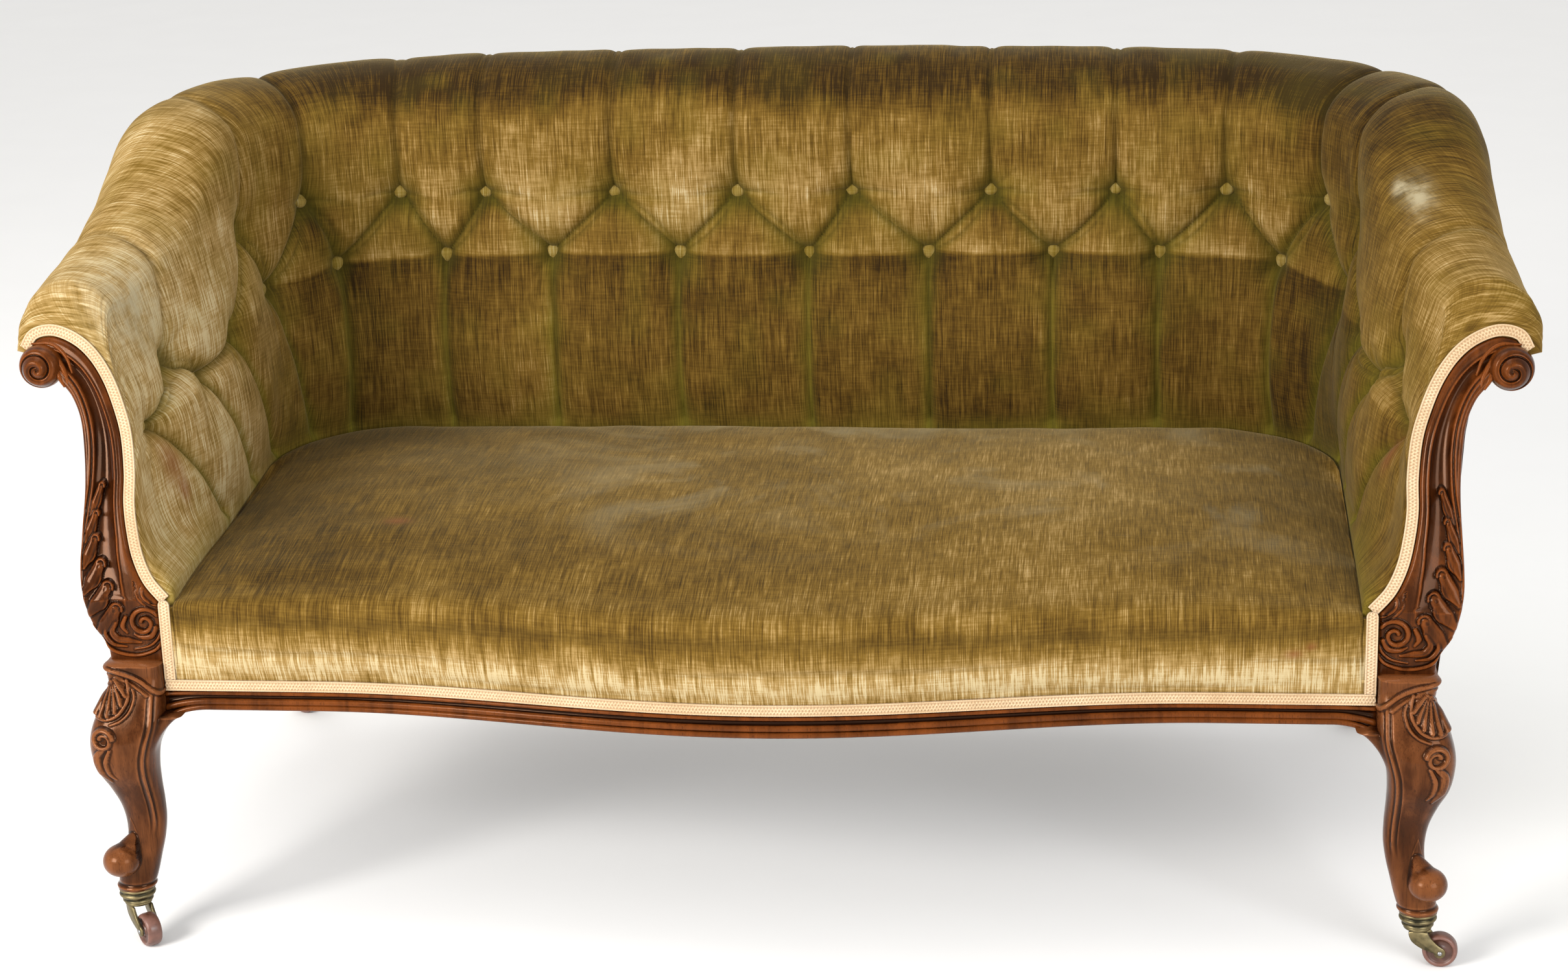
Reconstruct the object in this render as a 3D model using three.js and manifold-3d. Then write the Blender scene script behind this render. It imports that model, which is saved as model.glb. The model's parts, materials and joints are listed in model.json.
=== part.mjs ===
// A button-back sofa with a show-wood front: a serpentine moulded rail on two cabriole legs,
// S-shaped arm facings that end in a ball scroll, a sprung seat and one padded wall that runs
// from arm to arm round the back, all on four swivel castors.
// Millimetres. X runs to the sitter's left arm as seen from the front, Y to the back, Z up.
import * as THREE from "three";
import { mergeVertices } from "three/addons/utils/BufferGeometryUtils.js";
import Module from "manifold-3d";

const wasm = await Module();
wasm.setup();

// Clearances
const seatGap = 0.3;
const softGap = 1;
const creaseGap = 3.5;
const cutOverrun = 2;
const crumbShare = 0.001;

// Main sizes of the seat and of the padded wall; heights of the seat and wall stand on the rails
const seatHalfWidth = 632;
const seatBackLine = 582;
const cornerRadius = 157;
const railTop = 336;
const railHeight = 68;
const railBottom = railTop - railHeight;
const railThickness = 46;
const seatLineRise = 69;
const seatLine = railTop + seatLineRise;
const backRise = 458;
const backCrest = seatLine + backRise;
const hessianThickness = 2;
const padBottom = railTop + seatGap + hessianThickness + seatGap;

// Wooden core of the wall: it leans out as it rises
const coreOut = 52;
const coreThickness = 30;
const coreLeanShare = 0.1;
const coreBelowCrest = 77;
const wallRailHeight = 46;
const armRailSwell = 12;
const coverThickness = 3;
const railLip = 2;
const stuffingRailLift = 16;
const stuffingRailLow = railTop + stuffingRailLift;
const stuffingRailHeight = 24;
const sheetInset = 10;
const seatSheetOut = coreOut - sheetInset;
const sheetLandShare = 0.55;
const armStations = 16;
const backSeamFadePower = 12;
const armSeamFadePower = 3;
const faceFadePower = 3;

// Front rail
const railShowDrop = 4;
const railShowBottom = railBottom - railShowDrop;
const railShowHeight = 24.5;
const railShowTop = railShowBottom + railShowHeight;
const railRebate = 10;
const railEndFront = -8;
const railBow = 52;
const railBowShare = 0.76;
const railBowReach = seatHalfWidth * railBowShare;
const railDepth = 40;
const railEndDrop = 14;
const railEndDropReach = 46;
const railBeadRadius = 4;
const railEndRise = 3.5;
const railLipDepth = 16;
const railBeadShare = 0.5;
const railFilletStep = 1.5;
const railFillet = 5;
const railCoveStep = 3.5;

// Arm facing: its notch beside the seat's front edge, and the way out and up from there
const notchRise = 102.5;
const notchHeight = railShowTop + notchRise;
const gimpOut = 8;
const gimpLineAtNotch = seatHalfWidth + gimpOut;
const facingWidth = 165;
const facingRise = 274;
const scrollReach = gimpLineAtNotch + facingWidth;
const scrollTop = notchHeight + facingRise;
const crestOverScroll = 39;
const armCrest = scrollTop + crestOverScroll;
const facingDrop = 14;
const facingBase = railTop - facingDrop;
const facingRakeShare = 0.35;
const faceRelief = 6;
const faceReliefWidth = 30;
const ballSetBack = 4;
const bossFacets = 10;
const voluteRadius = 14;
const voluteProud = 7;
const voluteAcrossShare = 0.2;
const voluteUpShare = -0.09;
const huskCount = 5;
const huskSmall = 9;
const huskLarge = 17;
const huskFacets = 6;
const huskSlimShare = 0.5;
const huskProudShare = 0.05;
const huskAcrossShare = 0.5;
const huskTopShare = 0.5;
const huskFootShare = 0.02;
const scrollBallRadius = 24;
const scrollBallUpShare = 0.865;
const scrollBallAcrossShare = 0.8485;
const gimpWidth = 13;
const gimpThickness = 2.4;

// Castors; the legs stand on them
const wheelRadius = 19;
const wheelWidth = 17;
const wheelRound = 4;
const wheelHeadroom = 4.4;
const castorTrail = 24;
const collarRadius = 20;
const collarHeight = 16;
const pintleRadius = 4;
const pintleShare = 0.7;
const pintleLength = collarHeight * pintleShare;
const axleRadius = 2.5;
const hornCheek = 3;
const hornDiscRadius = 15;
const hornDiscThickness = 4;
const hornNeckRadius = 9;
const runningGap = 0.5;
const hornBossRadius = 6;
const wheelFacets = 16;
const pintleFacets = 10;
const cheekSegments = 3;
const collarNeckShare = 0.82;
const collarStepShare = 0.25;
const castorTop = 2 * wheelRadius + wheelHeadroom + hornDiscThickness + seatGap + collarHeight;

// Front leg; the facing over it is as deep as the leg's top
const legOut = 15;
const legInner = seatHalfWidth + legOut;
const legTop = facingBase - seatGap;
const legFoot = castorTop + seatGap;
const legWidth = 50;
const legTopBackShare = 0.84;
const facingDepth = legWidth * legTopBackShare;
const legFacets = 14;
const legSquareTopShare = 0.45;
const toeBallRadius = 19;
const toeBallLift = 45;
const toeBallOut = 55;
const toeBallFront = -38;

// Rear leg and its post
const rearLegWidth = 42;
const rearFootWidth = 30;
const rearSweep = 62;
const rearLegTurnShare = 0.5;
const rearLegSteps = 5;
const blockReach = 110;
const blockHeight = 50;
const blockLift = 6;

// Seat
const seatCrownRise = 26;
const seatCrown = seatLine + seatCrownRise;
const seatFrontDrop = 9;
const seatFrontEdge = seatLine - seatFrontDrop;
const seatBackRise = 8;
const seatBackEdge = seatLine + seatBackRise;
const seatFrontBulge = 20;
const seatBorderShares = [0.2, 0.5, 0.8];
const seatBorderStep = 4;
const seatSquareness = 8;
const seatEndBulgeShare = 0.25;
const gimpStations = 26;

// Tufting of the wall: its two rows fall from the back to the facings
const lowRowRiseBack = 223;
const lowRowRiseFront = 140;
const rowsApartBack = 74;
const rowsApartFront = 40;
const lowRowBack = seatLine + lowRowRiseBack;
const lowRowFront = seatLine + lowRowRiseFront;
const topRowBack = lowRowBack + rowsApartBack;
const topRowFront = lowRowFront + rowsApartFront;
const tuftDepth = 22;
const tuftSpread = 26;
const pleatDepth = 12;
const pleatSpread = 22;
const lipReach = 60;
const lipSwell = 6;
const armPleatSlant = 105;
const rollPleatSlant = 50;

// Springs and webbing
const webbingWidth = 50;
const webbingThickness = 2;
const springWaistRadius = 22;
const springEndRadius = 36;
const springWire = 4;
const springTurns = 3;
const springSteps = 6;
const springSides = 4;
const springColumns = 4;
const springRows = 2;
const springSpreadShare = 0.744;
const springFrontShare = 0.29;
const springBackShare = 0.74;
const springSeatSink = 1;
const springEndLayShare = 0.08;
const dustCoverThickness = 1.5;

// Facet counts
const roundFacets = 16;

const wood = { color: 0x4a1c0e, roughness: 0.35, metalness: 0 };
const beech = { color: 0xb08a5a, roughness: 0.7, metalness: 0 };
const velvet = { color: 0x7a6a34, roughness: 0.85, metalness: 0 };
const paleCloth = { color: 0xcfcaa8, roughness: 0.9, metalness: 0 };
const jute = { color: 0xa98a5c, roughness: 0.95, metalness: 0 };
const darkCloth = { color: 0x2b2722, roughness: 0.95, metalness: 0 };
const braid = { color: 0xe0cd9c, roughness: 0.8, metalness: 0 };
const brass = { color: 0x4f4a32, roughness: 0.45, metalness: 1 };
const steel = { color: 0x6f6f72, roughness: 0.4, metalness: 1 };
const wheelBrown = { color: 0x5a3020, roughness: 0.35, metalness: 0 };

const sofa = new THREE.Group();

function addMesh(parent, name, geometry, look) {
  const mesh = new THREE.Mesh(geometry, new THREE.MeshStandardMaterial(look));
  mesh.name = name;
  parent.add(mesh);
  return mesh;
}

// Solids for joining and cutting

function solidOf(geometry) {
  const bare = geometry.clone();
  bare.deleteAttribute("normal");
  bare.deleteAttribute("uv");
  const merged = mergeVertices(bare);
  return new wasm.Manifold(
    new wasm.Mesh({
      numProp: 3,
      vertProperties: new Float32Array(merged.attributes.position.array),
      triVerts: new Uint32Array(merged.index.array),
    }),
  );
}

function geometryOf(solid) {
  const mesh = solid.getMesh();
  const places = new Float32Array(mesh.numVert * 3);
  for (let i = 0; i < mesh.numVert; i++)
    for (let k = 0; k < 3; k++) places[3 * i + k] = mesh.vertProperties[i * mesh.numProp + k];
  const geometry = new THREE.BufferGeometry();
  geometry.setAttribute("position", new THREE.BufferAttribute(places, 3));
  geometry.setIndex([...mesh.triVerts]);
  return geometry;
}

function join(first, ...others) {
  return others.reduce((whole, other) => whole.add(other), first);
}

function cut(first, ...others) {
  return others.reduce((whole, other) => whole.subtract(other), first);
}

function box(x0, x1, y0, y1, z0, z1) {
  const geometry = new THREE.BoxGeometry(x1 - x0, y1 - y0, z1 - z0);
  geometry.translate((x0 + x1) / 2, (y0 + y1) / 2, (z0 + z1) / 2);
  return geometry;
}

// A closed skin over rings of equal length; flats are the first and last ring as flat outlines,
// from which the two ends are closed.
function loft(rings, firstFlat, lastFlat) {
  const count = rings[0].length;
  const places = rings.flat().flatMap((p) => [p.x, p.y, p.z]);
  const faces = [];
  for (let r = 0; r + 1 < rings.length; r++)
    for (let i = 0; i < count; i++) {
      const a = r * count + i;
      const b = r * count + ((i + 1) % count);
      const [p, q, u, v] = [rings[r][i], rings[r][b % count], rings[r + 1][b % count], rings[r + 1][i]];
      if (p.distanceTo(u) <= q.distanceTo(v)) faces.push(a, b, b + count, a, b + count, a + count);
      else faces.push(a, b, a + count, b, b + count, a + count);
    }
  const close = (flat, base, turned) => {
    const outline = flat.map(([u, v]) => new THREE.Vector2(u, v));
    for (const [a, b, c] of THREE.ShapeUtils.triangulateShape(outline, []))
      faces.push(base + a, base + (turned ? c : b), base + (turned ? b : c));
  };
  const spins = (flat) => THREE.ShapeUtils.area(flat.map(([u, v]) => new THREE.Vector2(u, v))) > 0;
  close(firstFlat, 0, spins(firstFlat));
  close(lastFlat, (rings.length - 1) * count, !spins(lastFlat));
  const geometry = new THREE.BufferGeometry();
  geometry.setAttribute("position", new THREE.Float32BufferAttribute(places, 3));
  geometry.setIndex(faces);
  return facingOut(geometry);
}

// Turns every face over when the skin points inwards.
function facingOut(geometry) {
  const place = geometry.attributes.position;
  const faces = geometry.index.array;
  const [a, b, c] = [new THREE.Vector3(), new THREE.Vector3(), new THREE.Vector3()];
  let sixfold = 0;
  for (let i = 0; i < faces.length; i += 3) {
    a.fromBufferAttribute(place, faces[i]);
    b.fromBufferAttribute(place, faces[i + 1]);
    c.fromBufferAttribute(place, faces[i + 2]);
    sixfold += a.dot(b.cross(c));
  }
  if (sixfold < 0)
    for (let i = 0; i < faces.length; i += 3)
      [faces[i + 1], faces[i + 2]] = [faces[i + 2], faces[i + 1]];
  return geometry;
}

function smoothCurve(points) {
  return new THREE.SplineCurve(points.map(([u, v]) => new THREE.Vector2(u, v)));
}

// A value between keys that are placed by shares of the whole.
function between(places, values, at) {
  const last = places.length - 1;
  if (at <= places[0]) return values[0];
  if (at >= places[last]) return values[last];
  const k = places.findIndex((place) => place > at) - 1;
  const share = (at - places[k]) / (places[k + 1] - places[k]);
  const eased = share * share * (3 - 2 * share);
  return values[k] + ((values[k + 1] - values[k]) * (eased + share)) / 2;
}

function mix(from, to, share) {
  return from + (to - from) * share;
}

function steps(count) {
  return Array.from({ length: count + 1 }, (_, i) => i / count);
}

// Plan of the wall: a straight back, round corners and straight arms, measured from its middle
const straightBack = seatHalfWidth - cornerRadius;
const cornerLength = (cornerRadius * Math.PI) / 2;
const armStart = straightBack + cornerLength;
const cornerCentreY = seatBackLine - cornerRadius;
const wallHalfLength = alongAtFace(scrollTop, 0);

function faceY(up) {
  return Math.max(0, up - notchHeight) * facingRakeShare;
}

// The length along the wall at which it stands a given way behind the facing's front.
function alongAtFace(up, behind) {
  return armStart + cornerCentreY - faceY(up) - behind;
}

function wallPlace(along, out, up) {
  const side = along < 0 ? -1 : 1;
  const s = Math.abs(along);
  if (s <= straightBack) return new THREE.Vector3(side * s, seatBackLine + out, up);
  if (s <= armStart) {
    const turn = (s - straightBack) / cornerRadius;
    const reach = cornerRadius + out;
    const x = straightBack + reach * Math.sin(turn);
    return new THREE.Vector3(side * x, cornerCentreY + reach * Math.cos(turn), up);
  }
  return new THREE.Vector3(side * (seatHalfWidth + out), cornerCentreY - (s - armStart), up);
}

// Shape of the wall along its length, in shares that keep their places to the corners
const cornerMiddle = straightBack + cornerLength / 2;
const cornerMiddleShare = 0.57;
const wallKeyShares = [0, 0.38, 0.53, 0.63, 0.71, 0.8, 0.9, 1];
const crestRiseShares = [1, 0.958, 0.92, 0.915, 0.845, 0.46, 0.16, 0];
const crestOutShares = [0, 0.03, 0.12, 0.1, 0.18, 0.345, 0.66, 1];
const rollHeightShares = [1, 0.97, 0.93, 0.9, 0.86, 0.8, 0.7, 0.68];
const rollInnerShares = [1, 1, 0.98, 0.94, 0.88, 0.82, 0.68, 0.54];
const rollOuterShares = [1, 1, 1.03, 0.97, 0.96, 0.97, 0.92, 0.9];
const lowRowDropShares = [0, 0, 0.07, 0.19, 0.29, 0.52, 0.8, 1];
const topRowDropShares = [0, 0, 0, 0, 0.05, 0.35, 0.83, 1];
const bellyInShares = [1, 0.95, 0.8, 0.6, 0.45, 0.3, -0.1, -1.7];
const lowCrownInShares = [1, 0.95, 0.8, 0.6, 0.3, -0.2, -1.2, -3.5];
const topCrownInShares = [1, 0.95, 0.6, 0, -0.8, -2, -4.4, -6.4];
const railSwellShares = [0, 0, 0.5, 0.8, 1, 1, 0.6, 0];
const crestOutBack = 84;
const crestOutFrontShare = 0.745;
const crestOutFront = gimpOut + facingWidth * crestOutFrontShare;
const rollHeightShare = 0.263;
const rollHeight = facingRise * rollHeightShare;
const rollOverSeat = 6;
const rollInner = crestOutBack + rollOverSeat;
const rollOverCore = 17;
const rollOuter = coreInner(backCrest - coreBelowCrest) + coreThickness + rollOverCore - crestOutBack;
const bellyIn = 21;
const lowCrownIn = 12;
const topCrownIn = 8;
const rollTurnShares = [0.99, 0.83, 0.68, 0.53, 0.38, 0.22, 0.05, -0.11];
const bellyFootShare = 0.7;
const bellyFootRiseShare = 0.45;
const seatRow = 1;
const lowRow = 5;
const topRow = 7;

function alongAtShare(share) {
  if (share < cornerMiddleShare) return (cornerMiddle * share) / cornerMiddleShare;
  return mix(cornerMiddle, wallHalfLength, (share - cornerMiddleShare) / (1 - cornerMiddleShare));
}

function shareAtAlong(along) {
  const s = Math.abs(along);
  if (s < cornerMiddle) return (s / cornerMiddle) * cornerMiddleShare;
  return mix(cornerMiddleShare, 1, (s - cornerMiddle) / (wallHalfLength - cornerMiddle));
}

function wallShape(along) {
  const at = shareAtAlong(along);
  const key = (values) => between(wallKeyShares, values, at);
  const crest = mix(armCrest, backCrest, key(crestRiseShares));
  return {
    crest,
    crestOut: mix(crestOutBack, crestOutFront, key(crestOutShares)),
    low: mix(lowRowBack, lowRowFront, key(lowRowDropShares)),
    top: mix(topRowBack, topRowFront, key(topRowDropShares)),
    rise: rollHeight * key(rollHeightShares),
    inner: rollInner * key(rollInnerShares),
    outer: rollOuter * key(rollOuterShares),
    belly: -bellyIn * key(bellyInShares),
    lowCrown: -lowCrownIn * key(lowCrownInShares),
    topCrown: -topCrownIn * key(topCrownInShares),
    swell: armRailSwell * key(railSwellShares),
    coreTop: crest - coreBelowCrest,
  };
}

function coreInner(up) {
  return coreOut + coreLeanShare * (up - railTop);
}

// The wall's padded face before tufting, from the seat up and over the roll.
function wallFace(along) {
  const w = wallShape(along);
  const bellyAt = (seatLine + w.low) / 2;
  const points = [
    [0, padBottom],
    [0, seatLine],
    [w.belly * bellyFootShare, mix(seatLine, bellyAt, bellyFootRiseShare)],
    [w.belly, bellyAt],
    [(w.belly + w.lowCrown) / 2, (bellyAt + w.low) / 2],
    [w.lowCrown, w.low],
    [(w.lowCrown + w.topCrown) / 2, (w.low + w.top) / 2],
    [w.topCrown, w.top],
  ];
  for (const share of rollTurnShares) {
    const angle = share * Math.PI;
    const reach = Math.cos(angle) < 0 ? w.inner : w.outer;
    points.push([w.crestOut + reach * Math.cos(angle), w.crest + w.rise * (Math.sin(angle) - 1)]);
  }
  return points;
}

// Lengths climbed along the face to each of its points.
function climbs(face) {
  const lengths = [0];
  for (let i = 1; i < face.length; i++)
    lengths.push(lengths[i - 1] + Math.hypot(face[i][0] - face[i - 1][0], face[i][1] - face[i - 1][1]));
  return lengths;
}

// Tufts of half the wall, as shares of its half length from the middle; the two rows alternate
const lowTuftShares = [0, 0.142, 0.285, 0.404, 0.539, 0.638, 0.759, 0.848, 0.965];
const topTuftShares = [0.067, 0.212, 0.354, 0.469, 0.575, 0.686, 0.894];
const backEdgeLow = alongAtShare(lowTuftShares[5]);
const backEdgeTop = alongAtShare(topTuftShares[4]);
const slantStart = backEdgeTop;
const slantFull = armStart;

function slant(along) {
  return Math.min(1, Math.max(0, (along - slantStart) / (slantFull - slantStart)));
}

// Every sewn point and every pleat, on the face unrolled to its length and its climb.
function sewing() {
  const place = (along, row) => {
    const lengths = climbs(wallFace(along));
    return new THREE.Vector2(along, lengths[row < 0 ? lengths.length - 1 : row]);
  };
  const tufts = [
    ...lowTuftShares.map((share) => ({ along: alongAtShare(share), row: lowRow })),
    ...topTuftShares.map((share) => ({ along: alongAtShare(share), row: topRow })),
  ].sort((a, b) => a.along - b.along);
  const points = tufts.map((tuft) => place(tuft.along, tuft.row));
  const pleats = [];
  tufts.forEach((tuft, i) => {
    if (i + 1 < tufts.length) pleats.push([points[i], points[i + 1]]);
    const down = tuft.row === lowRow;
    const end = tuft.along - (down ? armPleatSlant : rollPleatSlant) * slant(tuft.along);
    pleats.push([points[i], place(end, down ? seatRow : -1)]);
  });
  const mirrored = new THREE.Vector2(-points[1].x, points[1].y);
  pleats.push([points[0], mirrored], [mirrored, place(-points[1].x, -1)]);
  return { points, pleats };
}

const sewn = sewing();

function reachOf(point, [from, to]) {
  const run = to.clone().sub(from);
  const share = THREE.MathUtils.clamp(point.clone().sub(from).dot(run) / run.lengthSq(), 0, 1);
  return point.distanceTo(from.clone().addScaledVector(run, share));
}

function sewnDepth(along, climb) {
  const point = new THREE.Vector2(Math.abs(along), climb);
  const pleat = Math.min(...sewn.pleats.map((line) => reachOf(point, line)));
  const tuft = Math.min(...sewn.points.map((place) => point.distanceTo(place)));
  const dip = pleatDepth * Math.exp(-pleat / pleatSpread);
  return dip + (tuftDepth - pleatDepth) * Math.exp(-((tuft / tuftSpread) ** 2));
}

// The face with its tufts and pleats sewn in, and a fuller lip just behind the facing.
function tuftedFace(along) {
  const face = wallFace(along);
  const lengths = climbs(face);
  const behindFace = Math.min(1, Math.max(0, (wallHalfLength - Math.abs(along)) / lipReach));
  const lip = lipSwell * Math.sin(Math.PI * behindFace);
  return face.map(([out, up], i) => {
    if (i <= seatRow) return [out, up];
    const before = face[i - 1];
    const after = face[Math.min(i + 1, face.length - 1)];
    const run = Math.hypot(after[0] - before[0], after[1] - before[1]);
    const depth = sewnDepth(along, lengths[i]) - lip;
    return [out + (depth * (after[1] - before[1])) / run, up - (depth * (after[0] - before[0])) / run];
  });
}

// One closed outline of the padding: its face, then its hidden side over the wooden core.
function padOutline(along) {
  const w = wallShape(along);
  const face = tuftedFace(along);
  const end = face[face.length - 1];
  const topUp = w.coreTop - cutOverrun;
  const inner = (up) => coreInner(up) + cutOverrun;
  const outer = coreInner(w.coreTop) + coreThickness + w.swell - cutOverrun;
  const lipUp = Math.min(end[1], topUp - railLip);
  return [...face, [outer, lipUp], [outer, topUp], [inner(topUp), topUp], [inner(padBottom), padBottom]];
}

// The room that the wooden core, its hessian and its outside cover take inside the padding.
function coreRoom(from, to) {
  const outlineAt = (along) => {
    const w = wallShape(along);
    const low = padBottom - 2 * cutOverrun;
    const high = w.coreTop + seatGap;
    const inner = (up) => coreInner(up) - hessianThickness - 2 * seatGap;
    const outer = (up) => coreInner(up) + coreThickness + w.swell + seatGap;
    return [
      [inner(low), low],
      [outer(low), low],
      [outer(high), high],
      [inner(high), high],
    ];
  };
  return solidOf(wallBeam(from, to, outlineAt));
}

// Stations along half the wall: at the tufts of the back and between them, then evenly up the arm
const backStations = tuftStations(backEdgeTop);
const armStationList = steps(armStations).map((share) => mix(backEdgeTop, wallHalfLength, share));

function tuftStations(end) {
  const tufts = [...lowTuftShares, ...topTuftShares].map(alongAtShare);
  const inside = tufts.filter((along) => along > 0 && along < end - tuftSpread / 2);
  const stops = [0, ...inside.sort((a, b) => a - b), end];
  return stops.flatMap((stop, i) => (i ? [(stops[i - 1] + stop) / 2, stop] : [stop]));
}

// A length of the wall's padding; seams and face ends move its first and last stations.
function padding(stations, shiftAt) {
  const points = padOutline(0).length;
  const outlines = stations.map((nominal) =>
    Array.from({ length: points }, (_, i) => {
      const guess = padOutline(nominal)[i];
      const along = nominal + shiftAt(i, nominal, guess[1]);
      const [out, up] = padOutline(along)[i];
      return { along: nominal + shiftAt(i, nominal, up), out, up };
    }),
  );
  return loftOfWall(outlines, padOutline(backEdgeTop));
}

function loftOfWall(outlines, seam) {
  const flat = (outline) => seam ?? outline.map((p) => [p.out, p.up]);
  const rings = outlines.map((outline) => outline.map((p) => wallPlace(p.along, p.out, p.up)));
  return loft(rings, flat(outlines[0]), flat(outlines[outlines.length - 1]));
}

// The seam between the back and an arm drops from the last top tuft to the last low one.
function seamShift(point) {
  if (point <= lowRow) return backEdgeLow - backEdgeTop;
  return point < topRow ? (backEdgeLow - backEdgeTop) / 2 : 0;
}

function backPadding() {
  const half = backStations.slice(1);
  const stations = [...half.map((along) => -along).reverse(), ...backStations];
  const shift = (point, nominal) => {
    const share = Math.abs(nominal) / backEdgeTop;
    return Math.sign(nominal) * (seamShift(point) - seatGap) * share ** backSeamFadePower;
  };
  return solidOf(padding(stations, shift));
}

function backPad() {
  const reach = backEdgeLow + cutOverrun;
  return geometryOf(mainBody(cut(backPadding(), coreRoom(-reach, reach))));
}

function armPad(facing) {
  const shift = (point, nominal, up) => {
    const share = (nominal - backEdgeTop) / (wallHalfLength - backEdgeTop);
    const seam = (seamShift(point) - softGap) * (1 - share) ** armSeamFadePower;
    const face = alongAtFace(up, gimpThickness + 2 * seatGap) - wallHalfLength;
    return seam + face * share ** faceFadePower;
  };
  const whole = solidOf(padding(armStationList, shift));
  const back = backPadding();
  const alongSeam = wallPlace(backEdgeLow, 0, 0).sub(wallPlace(backEdgeTop, 0, 0)).setLength(softGap);
  const frontCorner = box(0, gimpLineAtNotch * 2, -facingDepth, facingDepth, 0, notchHeight);
  const room = coreRoom(backEdgeTop - cutOverrun, alongAtFace(notchHeight, 0));
  const besideBack = back.translate(alongSeam.toArray());
  return geometryOf(mainBody(cut(whole, room, facing, solidOf(frontCorner), back, besideBack)));
}

// Leaves out the crumbs that a cut may shave off.
function mainBody(solid) {
  const bodies = solid.decompose().sort((a, b) => b.volume() - a.volume());
  if (bodies.slice(1).some((body) => body.volume() > bodies[0].volume() * crumbShare))
    throw new Error("a cut has split a piece in two");
  return bodies[0];
}

// Members of the wooden core, swept along the wall

const postStart = cornerMiddle - rearLegWidth / 2;
const postEnd = cornerMiddle + rearLegWidth / 2;
const blockStart = cornerMiddle - blockReach;
const blockEnd = cornerMiddle + blockReach;
const memberEnds = [postStart, postEnd, blockStart, blockEnd];
const halfStops = [...backStations, ...armStationList, ...memberEnds].sort((a, b) => a - b);
const wallStops = [...halfStops.map((along) => -along).reverse(), ...halfStops];

function stopsBetween(from, to) {
  const apart = (along, i) => !i || along - wallStops[i - 1] > softGap;
  const inside = wallStops.filter(apart).filter((along) => along > from + softGap && along < to - softGap);
  return [from, ...inside, to];
}

// A member swept along the wall.
function wallBeam(from, to, outlineAt) {
  const outlines = stopsBetween(from, to).map((along) =>
    outlineAt(along).map(([out, up]) => ({ along, out, up })),
  );
  return loftOfWall(outlines);
}

function coreOutline(low, high, swell) {
  return [
    [coreInner(low), low],
    [coreInner(low) + coreThickness + swell, low],
    [coreInner(high) + coreThickness + swell, high],
    [coreInner(high), high],
  ];
}

function topRailOutline(along) {
  const w = wallShape(along);
  return coreOutline(w.coreTop - wallRailHeight, w.coreTop, w.swell);
}

function stuffingRailOutline() {
  return coreOutline(stuffingRailLow, stuffingRailLow + stuffingRailHeight, 0);
}

function seatRailOutline() {
  const outer = coreInner(railBottom) + coreThickness - seatGap;
  const inner = outer - railThickness;
  return [
    [inner, railBottom],
    [outer, railBottom],
    [outer, railTop],
    [inner, railTop],
  ];
}

function hessianOutline(along) {
  const high = wallShape(along).coreTop - cutOverrun;
  const low = stuffingRailLow;
  const inner = (up) => coreInner(up) - hessianThickness - seatGap;
  return [
    [inner(low), low],
    [coreInner(low) - seatGap, low],
    [coreInner(high) - seatGap, high],
    [inner(high), high],
  ];
}

function coverOutline(along) {
  const w = wallShape(along);
  const face = tuftedFace(along);
  const high = Math.min(face[face.length - 1][1], w.coreTop - railLip) - creaseGap;
  const turn = Math.min(high - cutOverrun, w.coreTop - wallRailHeight);
  const line = [
    [coreInner(high) + coreThickness + w.swell + seatGap, high],
    [coreInner(turn) + coreThickness + w.swell + seatGap, turn],
    [coreInner(railBottom) + coreThickness + seatGap, railBottom],
  ];
  const outside = line.map(([out, up]) => [out + coverThickness, up]).reverse();
  return [...line, ...outside];
}

function acrossBack(outlineAt) {
  const edge = postStart - seatGap;
  return wallBeam(-edge, edge, outlineAt);
}

// Arm members run on to the facing and are cut to its rake.
function alongArm(outlineAt) {
  const beam = wallBeam(postEnd + seatGap, alongAtFace(notchHeight, 0), outlineAt);
  return geometryOf(mainBody(cut(solidOf(beam), frontOfFace(facingDepth + creaseGap))));
}

function frontOfFace(behind) {
  const profile = new THREE.Shape();
  const high = backCrest;
  profile.moveTo(-facingDepth, 0);
  profile.lineTo(behind, 0);
  profile.lineTo(behind, notchHeight);
  profile.lineTo(faceY(high) + behind, high);
  profile.lineTo(-facingDepth, high);
  const slab = new THREE.ExtrudeGeometry(profile, { depth: scrollReach, bevelEnabled: false });
  slab.rotateX(Math.PI / 2);
  slab.rotateZ(Math.PI / 2);
  return solidOf(slab);
}

// Rear leg: a swept foot that runs up as the corner post of the wall.
const sweepTurn = (Math.PI / 4) * rearLegTurnShare;
const sweepWay = new THREE.Vector3(Math.sin(sweepTurn), Math.cos(sweepTurn), 0);

function rearLeg() {
  const top = wallShape(postEnd).coreTop - cutOverrun;
  const rings = [];
  const postHeights = [top, (top + railTop) / 2, railTop, railBottom];
  for (const up of postHeights) {
    const side = (out) => stopsBetween(postStart, postEnd).map((along) => wallPlace(along, out, up));
    rings.push([...side(coreInner(up)), ...side(coreInner(up) + coreThickness).reverse()]);
  }
  const shoulder = rings[rings.length - 1];
  for (const share of steps(rearLegSteps).slice(1)) {
    const up = mix(railBottom, legFoot, share);
    const swing = rearSweep * share ** 2;
    const shrink = mix(1, rearFootWidth / rearLegWidth, share);
    const base = wallPlace(cornerMiddle, coreInner(railBottom) + coreThickness / 2, up);
    const centre = base.clone().addScaledVector(sweepWay, swing);
    rings.push(
      shoulder.map((corner) => {
        const arm = corner.clone().setZ(up).sub(base);
        return centre.clone().addScaledVector(arm, shrink);
      }),
    );
  }
  const flat = (ring) => ring.map((p) => [p.x, p.y]);
  return loft(rings, flat(rings[0]), flat(rings[rings.length - 1]));
}

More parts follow.
